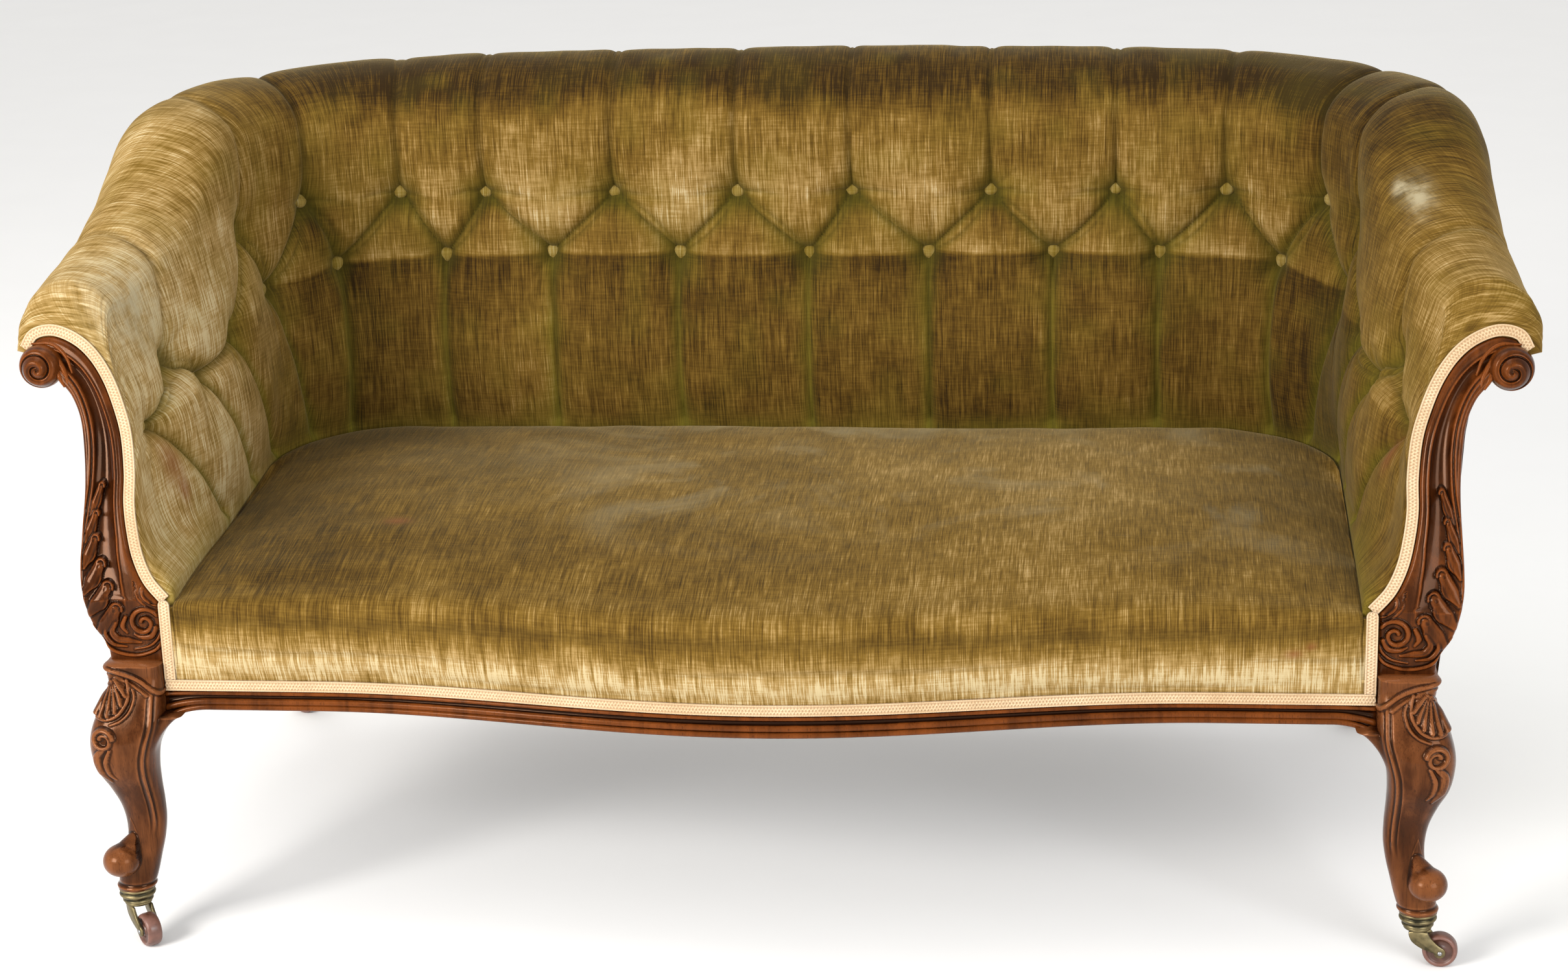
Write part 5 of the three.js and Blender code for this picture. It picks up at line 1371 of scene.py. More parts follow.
def ridge(x, z, path, widths, heights, vein=0.0):
    """Height of a rounded ridge along a path, its half width and height stated along it."""
    count = 10 * len(path)
    line = spline(path, count)
    at = np.linspace(0, 1, count)
    half = np.interp(at, np.linspace(0, 1, len(widths)), widths)
    high = np.interp(at, np.linspace(0, 1, len(heights)), heights)
    relief = np.zeros_like(x)
    near = (x > line[:, 0].min() - half.max()) & (x < line[:, 0].max() + half.max())
    near &= (z > line[:, 1].min() - half.max()) & (z < line[:, 1].max() + half.max())
    px, pz = x[near], z[near]
    best = np.zeros_like(px)
    for (x0, z0), (x1, z1), w, h in zip(line, line[1:], half, high):
        run = np.array([x1 - x0, z1 - z0])
        t = held(((px - x0) * run[0] + (pz - z0) * run[1]) / (run @ run + 1e-9))
        away = np.hypot(px - x0 - t * run[0], pz - z0 - t * run[1]) / max(w, 0.1)
        dome = h * np.sqrt(held(1 - away**2))
        best = np.maximum(best, dome - vein * h * bell(away, 0.16) * (away < 1))
    relief[near] = best
    return relief


def carved(x, z, strokes):
    """The highest of several ridges at each point."""
    return np.maximum.reduce([ridge(x, z, *stroke) for stroke in strokes])


def spiral(centre, start, end, radius_start, radius_end, count=16):
    """Points of a spiral between two angles in degrees."""
    angle = np.linspace(math.radians(start), math.radians(end), count)
    radius = np.linspace(radius_start, radius_end, count)
    return np.stack([centre[0] + radius * np.cos(angle), centre[1] + radius * np.sin(angle)], 1)


# Husks down the outer side of a facing: the curled tip of each and where its leaf meets the edge
HUSK_TIPS = [(711, 507), (717, 478), (718, 453), (712, 427), (704, 404), (695, 381)]
HUSK_ENDS = [(722, 476), (727, 450), (729, 424), (728, 398), (725, 374), (716, 352)]
HUSK_WIDTHS = [4.5, 5, 6.5, 8, 9, 9.5]
VOLUTE_EYE = (664, 366)
# The volute and the leaves and rims round it, as path, half widths, heights and depth of vein
VOLUTE_STROKES = [
    (spiral(VOLUTE_EYE, 150, -150, 17, 8.5), [2.6, 3.4, 3], [3.5, 5.5, 4.5]),
    (spiral(VOLUTE_EYE, -150, -330, 8.5, 3.5, 12), [3, 2.4], [4.5, 5]),
    ([(652, 360), (657, 351), (668, 349), (676, 352)], [3.2, 3.6, 1.2], [3.8, 3.6, 1]),
    ([(696, 366), (700, 356), (694, 347), (682, 345), (670, 343)], [3.4, 4.4, 4, 1.5], [4.4, 4.6, 3.6, 1.2], 0.3),
    ([(706, 364), (708, 352), (700, 341), (686, 338)], [2.6, 3, 1.2], [3.6, 3.6, 1]),
    ([(684, 372), (688, 362), (684, 354)], [2.6, 3.4, 1.4], [4, 4.4, 1.6]),
    (
        [(643, 352), (648, 341), (658, 333), (677, 328.5), (699, 333), (713, 346), (722, 362)],
        [2, 2.4, 2.4, 1.6],
        [3.6, 4, 4, 2],
    ),
    ([(645, 358), (651, 347), (661, 339), (677, 335)], [1.5, 1.8, 1], [2.4, 2.6, 1]),
    ([(644, 384), (655, 388), (664, 396), (664, 405), (658, 405)], [1.5, 1.8, 1.2], [2.4, 3, 1.6]),
    ([(649, 379), (660, 384), (670, 395), (673, 410)], [1.1, 1.2, 0.8], [1.6, 1.8, 1]),
]


def facing_strokes():
    """Husks and a volute for a facing, each stroke as path, half widths, heights and depth of vein."""
    strokes = list(VOLUTE_STROKES)
    for (x, z), (x1, z1), width in zip(HUSK_TIPS, HUSK_ENDS, HUSK_WIDTHS):
        bow = (mix(x, x1, 0.35) + 2, mix(z, z1, 0.5) - 1)
        strokes.append(([(x, z), bow, (x1, z1)], [width * 0.8, width, width * 0.35], [5.5, 4.2, 1.5], 0.35))
        under = [(x - 1, z - width * 0.9), (bow[0] - width * 0.75, bow[1] - 3), (x1 - width * 0.5, z1 + 2)]
        strokes.append((under, [width * 0.35, width * 0.4, 1], [3.2, 2.4, 0.8]))
        curl = spiral((x - width * 0.15, z + 1), 200, -60, width * 0.75, width * 0.45, 8)
        strokes.append((curl, [1.5, 1.2], [6.2, 4.4]))
    return strokes


# Arm facings, between the braid and the outer edge

# Stations up a facing: its inner edge along the braid, its outer edge, and its mouldings in shares
INNER_RUNS = [-1, -0.7, -0.35, 0.02, 0.1, 0.2, 0.32, 0.45, 0.58, 0.7, 0.8, 0.9, 1]
OUTER_ACROSS = [0.4, 0.42, 0.51, 0.56, 0.565, 0.55, 0.54, 0.55, 0.575, 0.63, 0.7, 0.76, 0.8]
OUTER_UP = [-1, -0.714, -0.357, 0.04, 0.15, 0.29, 0.43, 0.56, 0.67, 0.75, 0.8, 0.835, 0.86]
BEAD_SHARES = [0.5, 0.5, 0.48, 0.42, 0.3, 0.22, 0.2, 0.2, 0.22, 0.25, 0.28, 0.3, 0.32]
RIM_SHARES = [1.1, 1.1, 1.05, 1, 0.98, 0.92, 0.8, 0.73, 0.7, 0.68, 0.66, 0.62, 0.6]
FLUTE_SHARES = [0, 0, 0, 0.3, 0.8, 1, 1, 1, 1, 0.95, 0.85, 0.6, 0.3]
FLUTE_DEPTH = 6.0
FACE_ROUND = 5.0
FACING_ROWS = 420
FACING_COLUMNS = 76
BALL_FACETS = 96
# Paths and radii of the curled leaves at the ball
SCROLL_LEAVES = [
    ([(748, 606), (752, 622), (765, 640), (786, 650)], [1.2, 3, 3.4, 1.4]),
    ([(744, 622), (752, 640), (768, 652), (790, 652)], [1, 2.2, 2.2, 1]),
    ([(752, 608), (758, 618), (762, 630)], [1.4, 3, 1.6]),
]


def facing_edges():
    """Inner and outer edge of a facing, a point for each row, from its base to the scroll."""
    share = np.linspace(0, 1, FACING_ROWS)
    places = np.linspace(0, 1, len(INNER_RUNS))
    run = np.interp(share, places, INNER_RUNS)
    inset = GIMP_WIDTH / 2 + CLEARANCE
    neck_up = mix(NOTCH_HEIGHT - inset / 2, FACING_BASE, -run)
    neck = np.stack([np.full_like(run, GIMP_AT_NOTCH + inset), neck_up], 1)
    inner = np.where(run[:, None] < 0, neck, beside_gimp(held(run), inset))
    low = np.array(OUTER_UP) < 0
    points = facing_point(OUTER_ACROSS, np.maximum(0, OUTER_UP))
    points[low, 1] = mix(NOTCH_HEIGHT, FACING_BASE, -np.array(OUTER_UP)[low])
    outer = np.stack([Curve(places, points[:, k])(share) for k in (0, 1)], 1)
    return inner, outer, share


def behind_face(line, share):
    """An edge of a facing, set back by a share of its depth."""
    return np.stack([line[:, 0], face_y(line[:, 1]) + FACING_DEPTH * share, line[:, 1]], -1)[:, None]


def moulding(across, width, bead, rim, flute):
    """The run of the facing's section: a roll beside the braid, a hollow flute and an outer roll."""
    away = across * width
    bead_at, rim_at = bead * width, np.minimum(rim, 1.2) * width
    inner_roll = 2.6 * np.sqrt(held(1 - ((away - bead_at * 0.45) / (bead_at * 0.62 + 1)) ** 2))
    bead_line = 1.6 * bell(away - bead_at, 1.5)
    t = held((away - bead_at - 1.5) / np.maximum(rim_at - bead_at - 3, 2))
    hollow = -FLUTE_DEPTH * flute * np.sin(math.pi * t) ** 0.8
    beads = 1.8 * bell(away - rim_at, 1.4) + 1.2 * bell(away - rim_at - 3.4, 1.2)
    outer_width = np.maximum(width - rim_at - 4, 2)
    outer_roll = 3.6 * np.sqrt(held(1 - ((away - width + outer_width * 0.55) / (outer_width * 0.7)) ** 2))
    return np.maximum(inner_roll * flute, 0) + bead_line * flute + hollow + beads * flute + outer_roll * flute


def facing_mesh():
    """The carved front of a facing, one row of points to each height of it, and its sides and back."""
    inner, outer, share = facing_edges()
    places = np.linspace(0, 1, len(INNER_RUNS))
    bead, rim, flute = (np.interp(share, places, v)[:, None] for v in (BEAD_SHARES, RIM_SHARES, FLUTE_SHARES))
    width = np.linalg.norm(outer - inner, axis=1)[:, None]
    across = np.linspace(0, 1, FACING_COLUMNS)[None, :]
    x, z = mix(inner[:, :1], outer[:, :1], across), mix(inner[:, 1:], outer[:, 1:], across)
    relief = moulding(across, width, bead, rim, flute) * held(width / 34)
    strokes = carved(x, z, facing_strokes())
    hollows = np.minimum(relief, 0) * np.clip(1 - strokes / 3, 0.4, 1)
    relief = np.maximum(relief, 0) * (strokes < 0.1) + hollows + strokes
    edge = np.minimum(across * width, (1 - across) * width)
    fall = FACE_ROUND * (1 - np.sqrt(held(1 - (1 - held(edge / FACE_ROUND)) ** 2)))
    front = np.stack([x, face_y(z) - relief + fall * 0.8, z], -1)
    sides = [behind_face(outer, 0.35), behind_face(outer, 1), behind_face(inner, 1), behind_face(inner, 0.35)]
    return lofted(np.concatenate([front, *sides], 1))


def scroll_ball():
    """The ball that ends the arm: a spiral cut in its face and a rim behind it."""
    centre_x, centre_z = BALL_PLACE
    face = np.linspace(0.02, 1, 40)
    radius = np.append(face, [0.97, 0.9, 0.86])[:, None]
    depth = np.append(-np.sqrt(1 - face**2), [0.3, 0.6, 1.1])[:, None]
    angle = round_turn(BALL_FACETS)[None, :]
    turns = (radius * 1.9 + angle / (2 * math.pi)) % 1
    groove = bell(turns - 0.5, 0.07) * (radius > 0.16) * held((1 - radius) * 6)
    swell = 0.06 * np.cos(turns * 2 * math.pi)
    r = BALL_RADIUS * radius
    y = BALL_RADIUS * (depth * 0.92) + 2.6 * groove - BALL_RADIUS * swell * (radius < 0.9)
    x, z = centre_x + r * np.cos(angle), centre_z + r * np.sin(angle)
    return lofted(np.stack([x, face_y(centre_z) + 4 + y, z], -1))


def scroll_leaves():
    """Small curled leaves where the scroll runs into its ball."""
    parts = []
    for path, radii in SCROLL_LEAVES:
        x, z = spline(path, 20).T
        size = np.interp(np.linspace(0, 1, 20), np.linspace(0, 1, len(radii)), radii)
        parts.append(tube(np.stack([x, face_y(z) - 1.5, z], 1), size))
    return parts


def side_piece(name, node, mesh, material, side):
    """A piece of show wood on one side, mirrored for the left; it stands for a node."""
    points, faces = mesh if side > 0 else mirrored(*mesh)
    piece = face_out(piece_of(f"{SIDE_NAMES[side]}_{name}", points, faces, material, "walnut"))
    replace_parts(piece, f"{SIDE_NAMES[side]}_{node}")


# Front legs

LEG_WIDTH = 50.0
LEG_TOP = 321.7
LEG_FOOT = 63.0
LEG_DROPS = [0, 0.045, 0.09, 0.15, 0.24, 0.31, 0.38, 0.45, 0.53, 0.62, 0.7, 0.78, 0.86, 0.93, 1]
# Sides of the leg at each share of its drop, in leg widths
LEG_LINES = {
    "inner": [0, 0, 0, 0, 0.02, 0.12, 0.21, 0.24, 0.23, 0.2, 0.2, 0.26, 0.36, 0.45, 0.56],
    "outer": [1.24, 1.2, 1.12, 1.3, 1.54, 1.62, 1.6, 1.52, 1.32, 1.14, 1.07, 1.08, 1.18, 1.3, 1.38],
    "front": [-0.42, -0.42, -0.5, -0.66, -0.9, -1, -1, -0.92, -0.76, -0.62, -0.56, -0.58, -0.66, -0.7, -0.74],
    "back": [0.84, 0.84, 0.82, 0.76, 0.62, 0.48, 0.36, 0.28, 0.2, 0.15, 0.13, 0.13, 0.12, 0.1, 0.06],
}
LEG_SQUARE_SHARE = 0.45
LEG_ROWS = 290
LEG_COLUMNS = 210
TOE_PLACE = (702.5, -38.0, 102.0)
TOE_RADIUS = 20.5
TOE_RISE = 18.0
LEG_BEAD_IN = 9.0
BRACKET_TOP = 266.0
BRACKET_DROP = 42.0
BRACKET_REACH = 27.0
TOE_BLEND = 7.0

SHELL_TOP = (697, 312)
SHELL_RIM = [(680, 300), (680, 290), (684, 281), (690, 274), (698, 270), (706, 269), (714, 270)]
# Carving of the knee and below it, as path, half widths, heights and depth of vein
LEG_STROKES = [
    ([(712, 319), (697, 317), (682, 313), (669, 307), (657, 298), (647, 290)], [2.6, 3, 2.6, 2], [4.5, 4.5, 4, 2]),
    ([(710, 311), (696, 310), (683, 306), (671, 299), (660, 291)], [1.6, 2, 1.4], [2.4, 2.6, 1]),
    ([(696, 304), (699, 290), (702, 278)], [12, 17, 10], [3.5, 4.5, 2.5]),
    ([(682, 308), *SHELL_RIM], [2, 2.4, 2.6, 2.4, 2], [4, 5, 5.4, 5, 4]),
    ([(679, 305), (674, 291), (678, 277), (687, 268), (699, 263)], [1.4, 1.8, 1.2], [2.4, 2.6, 1]),
    (spiral((706, 248), 170, -120, 10.5, 9), [3, 3.2, 2.4], [4.5, 4.8, 3.5]),
    (spiral((706, 248), -120, -330, 9, 3.5, 12), [2.4, 2.6], [3.5, 4.6]),
    ([(706, 238), (714, 228), (712, 212), (703, 197)], [3, 5, 5.6, 1.5], [3.6, 4.4, 4, 1], 0.4),
    ([(700, 236), (705, 222), (703, 208), (697, 200)], [2, 3, 3, 1], [2.6, 3, 2.6, 0.8]),
]


def shell_ribs():
    """Ribs that fan out from the top of the knee's shell to its rim."""
    ribs = []
    top_x, top_z = SHELL_TOP
    for x, z in SHELL_RIM[1:]:
        start, middle = (mix(top_x, x, 0.12), mix(top_z, z, 0.12)), (mix(top_x, x, 0.6), mix(top_z, z, 0.55))
        ribs.append(([start, middle, (x + 2, z + 3)], [1, 2, 2.8], [5, 7.2, 6.6]))
    return ribs


def squared_ring(x, y, power):
    """Radius of a ring between an ellipse and a rectangle, from a direction's share of each half width."""
    return (np.abs(x) ** power + np.abs(y) ** power) ** (-1 / power)


def toe_reach(up, cos, sin, centre_x, centre_y):
    """How far the toe's ball, and its neck above, come out from the middle of the leg."""
    toe_x, toe_y, toe_z = TOE_PLACE
    ahead = (toe_x - centre_x) * cos + (toe_y - centre_y) * sin
    aside = np.abs((toe_x - centre_x) * sin - (toe_y - centre_y) * cos)

    def reach(radius):
        far = ahead + np.sqrt(np.clip(radius**2 - aside**2, 0, None))
        return np.where((radius > aside) & (ahead > 0), far, 0)

    ball = TOE_RADIUS * np.sqrt(held(1 - ((up - toe_z) / TOE_RISE) ** 2))
    above = held((up - toe_z) / (2.6 * TOE_RISE))
    neck = np.where(up > toe_z, TOE_RADIUS * (1 - above**1.5), 0)
    return np.maximum(reach(ball), reach(neck) * (1 - 0.62 * soft_step(above, 0.1, 0.8)) * 0.86)


def leg_mesh():
    """A squared cabriole leg as a radius round its own middle at each height.

    Its toe swells out, and a small bracket curves into it from under the rail.
    """
    up = np.linspace(LEG_TOP, LEG_FOOT, LEG_ROWS)[:, None]
    drop = (LEG_TOP - up) / (LEG_TOP - LEG_FOOT)
    line = {name: Curve(LEG_DROPS, values)(drop) * LEG_WIDTH for name, values in LEG_LINES.items()}
    angle = round_turn(LEG_COLUMNS)[None, :]
    cos, sin = np.cos(angle), np.sin(angle)
    half_x, half_y = (line["outer"] - line["inner"]) / 2, (line["back"] - line["front"]) / 2
    centre_x, centre_y = LEG_INNER + (line["outer"] + line["inner"]) / 2, (line["back"] + line["front"]) / 2
    radius = squared_ring(cos / half_x, sin / half_y, 2 / mix(LEG_SQUARE_SHARE, 1, drop))
    below_rail = held((BRACKET_TOP - up) / BRACKET_DROP)
    bracket = BRACKET_REACH * (1 - np.sqrt(1 - (1 - below_rail) ** 2)) * (up < BRACKET_TOP)
    radius = radius + bracket * soft_step(-cos, 0.82, 0.97)

    toe = toe_reach(up, cos, sin, centre_x, centre_y)
    blended = np.logaddexp(radius / TOE_BLEND, toe / TOE_BLEND) * TOE_BLEND
    blended -= TOE_BLEND * 0.69 * np.exp(-np.abs(radius - toe) / TOE_BLEND)
    radius = np.where(toe > 0, blended, radius)

    x, z = centre_x + radius * cos, up + 0 * angle
    bead = x - (LEG_INNER + line["inner"] + LEG_BEAD_IN)
    bead_fade = soft_step(up, 122, 160) * soft_step(LEG_TOP - 26 - up, 0, 10)
    relief = (1.8 * bell(bead, 1.6) - 1.5 * bell(bead - 3.2, 1.4) - 1.3 * bell(bead + 3.0, 1.3)) * bead_fade
    relief += carved(x, z, LEG_STROKES + shell_ribs())
    radius = radius + relief * soft_step(-sin, 0.05, 0.5)
    radius = radius + 1.4 * bell(up - 66, 1.8) - 0.8 * bell(up - 70, 1.4)
    return lofted(np.stack([centre_x + radius * cos, centre_y + radius * sin, z], -1))


# Front rail

RAIL_DEPTH = 40.0
RAIL_LIP_DEPTH = 16.0
RAIL_END_RISE = 3.5
RAIL_END_DROP = 14.0
RAIL_END_DROP_REACH = 46.0
RAIL_STATIONS = 420
BEAD_POINTS = 9


def rail_foot(x):
    """Height of the rail's lower edge, which drops where it runs into the legs."""
    rise = RAIL_END_RISE * np.sin(math.pi / 2 * np.minimum(1, np.abs(x) / RAIL_BOW_REACH) ** 2)
    past = np.maximum(0, np.abs(x) - (LEG_INNER - RAIL_END_DROP_REACH)) / RAIL_END_DROP_REACH
    return RAIL_SHOW_BOTTOM + rise - RAIL_END_DROP * past**2


def half_round(back, share, radius):
    """A bead of the rail's section: its way back, share of the rail's height and radius."""
    angle = np.linspace(math.pi / 2, -math.pi / 2, BEAD_POINTS)
    return [(back - radius * math.cos(a), share, radius * math.sin(a)) for a in angle]


# Way back from the rail's front, share of its height and lift above that
RAIL_SECTION = [
    (RAIL_REBATE, 1, 47.5),
    (RAIL_REBATE, 1, 0),
    (4.2, 1, 0),
    *half_round(3.6, 0.9, 2.1),
    (5.0, 0.79, 0),
    (5.6, 0.73, 0),
    (5.6, 0.68, 0),
    (5.0, 0.61, 0),
    *half_round(3.8, 0.455, 3.7),
    (5.4, 0.3, 0),
    *half_round(3.4, 0.15, 3.4),
    (5.0, 0, 0),
    (RAIL_LIP_DEPTH, 0, 0),
]


def rail_mesh():
    """The bowed front rail: its moulded front, and a plain rebate and back."""
    half = LEG_INNER - 0.3
    x = np.linspace(-half, half, RAIL_STATIONS)
    front, foot = rail_front(x), rail_foot(x)
    back, share, lift = np.array(RAIL_SECTION).T
    y = front[:, None] + back
    z = foot[:, None] + (RAIL_SHOW_TOP - foot)[:, None] * share + lift
    inner = [(RAIL_LIP_DEPTH, RAIL_BOTTOM), (RAIL_DEPTH, RAIL_BOTTOM), (RAIL_DEPTH, RAIL_TOP)]
    y = np.concatenate([y] + [front[:, None] + depth for depth, _ in inner], 1)
    z = np.concatenate([z] + [np.full((len(x), 1), height) for _, height in inner], 1)
    z[:, len(back)] = np.maximum(RAIL_BOTTOM, foot)
    return lofted(np.stack([np.broadcast_to(x[:, None], y.shape), y, z], -1))


# Rear legs, plain and swept back

REAR_LEG_WIDTH = 42.0
REAR_FOOT_WIDTH = 30.0
REAR_SWEEP = 62.0
REAR_TURN = math.pi / 8
REAR_ROWS = 110
POST_ROWS = 30
REAR_COLUMNS = 64
REAR_POWER = 5.0
REAR_FOOT_POWER = 2.6


def rear_leg_mesh():
    """A rear leg, squared and swept back, with the corner post of the frame above it."""
    post_top = wall_shape(np.array(CORNER_MIDDLE + REAR_LEG_WIDTH / 2))["core_top"] - 2
    post, leg = np.linspace(post_top, RAIL_BOTTOM, POST_ROWS), np.linspace(RAIL_BOTTOM, LEG_FOOT, REAR_ROWS)
    up = np.concatenate([post[:-1], leg])[:, None]
    share = held((RAIL_BOTTOM - up) / (RAIL_BOTTOM - LEG_FOOT))
    core = CORE_OUT + CORE_LEAN_SHARE * (np.maximum(up, RAIL_BOTTOM) - RAIL_TOP) + CORE_THICKNESS / 2
    base = wall_place(np.full_like(up, CORNER_MIDDLE), core, up)[:, 0]
    way = np.array([math.sin(REAR_TURN), math.cos(REAR_TURN)])
    centre = base[:, :2] + way * (REAR_SWEEP * share**2)
    angle = round_turn(REAR_COLUMNS)[None, :]
    shrink = mix(1, REAR_FOOT_WIDTH / REAR_LEG_WIDTH, share)
    half_along, half_out = REAR_LEG_WIDTH / 2 * shrink, CORE_THICKNESS / 2 * shrink
    power = mix(REAR_POWER, REAR_FOOT_POWER, share)
    radius = squared_ring(np.cos(angle) / half_along, np.sin(angle) / half_out, power)
    along, out = radius * np.cos(angle), radius * np.sin(angle)
    diagonal = math.sqrt(0.5)
    x, y = centre[:, :1] + (along + out) * diagonal, centre[:, 1:] + (out - along) * diagonal
    return lofted(np.stack([x, y, up + 0 * angle], -1))


# Castors

# Headings of the castors at rest, in degrees
CASTORS = {"front_left": -50, "front_right": -5, "rear_left": 160, "rear_right": 25}
CASTOR_TRAIL = 24.0
AXLE_UP = 18.63
AXLE_RADIUS = 2.5
AXLE_HALF = 12.0
BOSS_RADIUS = 6.0
CHEEK_START = 9.0
CHEEK_THICKNESS = 3.0
COLLAR_FACETS, DISC_FACETS, AXLE_FACETS, RIVET_FACETS, WHEEL_FACETS = 56, 48, 24, 20, 64
# Profiles as radius and height, and for the wheel as radius and way along its axle
COLLAR_PROFILE = [
    *[(4.5, 46.7), (16.2, 46.7), (16.8, 47.3), (16.8, 48.4), (15.8, 49.4), (15.8, 50.2), (16.6, 51.2)],
    *[(18.4, 52.6), (19.6, 54.0), (20, 55.2), (19.6, 56.4), (18.4, 57.3), (17.9, 58.2), (18.3, 59.2)],
    *[(19.6, 60), (20, 61), (19.7, 62.2), (19.2, 62.7), (4.5, 62.7)],
]
DISC_PROFILE = [
    *[(0.1, 57.2), (3.6, 57.2), (4, 56.8), (4, 46.6), (14, 46.4), (14.8, 45.9), (15, 45), (14.8, 43.4)],
    *[(13.6, 42.5), (9, 41.6), (0.1, 41.4)],
]
WHEEL_HALF = [
    *[(3.1, 7.2), (5.4, 7.6), (6, 7.0), (6.6, 5.8), (12.4, 5.6), (13.4, 6.4), (14.6, 8.3), (16.2, 8.2)],
    *[(17.6, 7), (18.4, 4.6), (18.6, 2.0)],
]
WHEEL_PROFILE = WHEEL_HALF + [(radius, -way) for radius, way in reversed(WHEEL_HALF)]
AXLE_PROFILE = [(0.1, -AXLE_HALF), (AXLE_RADIUS, -AXLE_HALF), (AXLE_RADIUS, AXLE_HALF), (0.1, AXLE_HALF)]
CHEEK_BACK = [(-9, 42), (-8.6, 37), (-5, 30), (3, 24), (12, 20), (18, 18.4)]
CHEEK_FRONT = [(30, 18.8), (28.6, 23), (25, 25.4), (20, 29), (14.6, 35), (10, 42)]


def wheel_ring(profile, facets):
    """A profile of radius and width turned round the axle."""
    points, faces = turned(profile, facets)
    return np.stack([points[:, 0] + CASTOR_TRAIL, points[:, 2], points[:, 1] + AXLE_UP], 1), faces


def cheek_mesh(side):
    """One arm of the horn, its edges eased."""
    turns = np.linspace(math.pi, 2 * math.pi, 12)[1:-1]
    boss = [(CASTOR_TRAIL + BOSS_RADIUS * math.cos(a), AXLE_UP + BOSS_RADIUS * math.sin(a)) for a in turns]
    outline = np.concatenate([spline(CHEEK_BACK, 14), boss, spline(CHEEK_FRONT, 14)])
    middle = outline.mean(0)
    rings = []
    for share, scale in ((0, 0.97), (0.2, 1), (0.75, 1), (1, 0.93)):
        ring = middle + (outline - middle) * scale
        across = np.full(len(ring), side * (CHEEK_START + CHEEK_THICKNESS * share))
        rings.append(np.stack([ring[:, 0], across, ring[:, 1]], 1))
    return lofted(np.array(rings))


def rivet_mesh(side):
    """The domed end of the axle on one side."""
    dome = [(2.4 * math.sin(a), 1.5 * math.cos(a)) for a in np.linspace(0.02, math.pi / 2, 7)]
    points, faces = turned(dome + [(AXLE_RADIUS, -2.0)], RIVET_FACETS)
    across = side * (AXLE_HALF + points[:, 2])
    return np.stack([points[:, 0] + CASTOR_TRAIL, across, points[:, 1] + AXLE_UP], 1), faces


def castor_pieces(corner, degrees, metals):
    """Collar, horn, axle and wheel of a castor; the horn and axle ride on one body, the wheel on its own."""
    (x0, y0, _), (x1, y1, _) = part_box(f"{corner}_castor_collar")
    place = np.array([(x0 + x1) / 2 / MM, ((y0 + y1) / 2 - FRONT_PLANE) / MM, 0])
    turn = math.radians(degrees)
    spin = np.array([[math.cos(turn), math.sin(turn), 0], [-math.sin(turn), math.cos(turn), 0], [0, 0, 1]])
    brass, steel, glaze = metals
    meshes = {
        "collar": [turned(COLLAR_PROFILE, COLLAR_FACETS)],
        "horn": [turned(DISC_PROFILE, DISC_FACETS), cheek_mesh(1), cheek_mesh(-1)],
        "axle": [wheel_ring(AXLE_PROFILE, AXLE_FACETS), rivet_mesh(1), rivet_mesh(-1)],
        "wheel": [wheel_ring(WHEEL_PROFILE, WHEEL_FACETS)],
    }
    parts = [
        ("collar", brass, "castor_brass", BODY),
        ("horn", brass, "castor_brass", f"{corner}_horn"),
        ("axle", steel, "castor_steel", f"{corner}_horn"),
        ("wheel", glaze, "castor_wheel", f"{corner}_wheel"),
    ]
    for name, material, slot, body in parts:
        points, faces = joined(meshes[name])
        piece = face_out(piece_of(f"{corner}_{name}", points @ spin + place, faces, material, slot, body=body))
        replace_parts(piece, f"{corner}_castor_{name}")


# Outside cloth

COVER_OUT = 1.6
COVER_EDGE_GAP = 3.6
COVER_FRONT_GAP = 0.8
COVER_STEP = 9
COVER_COLUMNS = 50
DUST_ROWS, DUST_COLUMNS = 90, 60


def cover_mesh(start, end, rake):
    """A cloth drawn smooth over the outside of the wall, from under the roll to the rail's foot."""
    count = max(30, round(abs(end - start) / COVER_STEP))
    share = np.linspace(0, 1, count)[:, None]
    climb = np.linspace(0, 1, COVER_COLUMNS)[None, :]
    along = np.repeat(mix(start, end, share), COVER_COLUMNS, 1)
    for _ in range(5):
        w = wall_shape(along[:, -1])
        roll_end = w["crest"] + w["rise"] * (math.sin(ROLL_TURNS[-1] * math.pi) - 1)
        top = (np.minimum(w["core_top"] - 2, roll_end) - COVER_EDGE_GAP)[:, None]
        up = mix(RAIL_BOTTOM + 0.6, top, climb)
        if rake:
            reach = along_at_face(up, FACING_DEPTH + COVER_FRONT_GAP)
            along = start + np.sign(end) * (reach - abs(start)) * share
    swell = w["swell"][:, None] * soft_step(up, top - 78, top - 54)
    out = CORE_OUT + CORE_LEAN_SHARE * (up - RAIL_TOP) + CORE_THICKNESS + swell + COVER_OUT
    out = out + 0.5 * value_noise(along, up, 90, 31)
    uv = np.stack([along, up], -1).reshape(-1, 2)
    return wall_place(along, out, up).reshape(-1, 3), grid_faces(count, COVER_COLUMNS), uv


def grid_faces(rows, columns):
    """Quads of an open grid."""
    row = np.arange(rows - 1)[:, None] * columns
    near = row + np.arange(columns - 1)[None, :]
    return np.stack([near, near + 1, near + columns + 1, near + columns], -1).reshape(-1, 4).tolist()


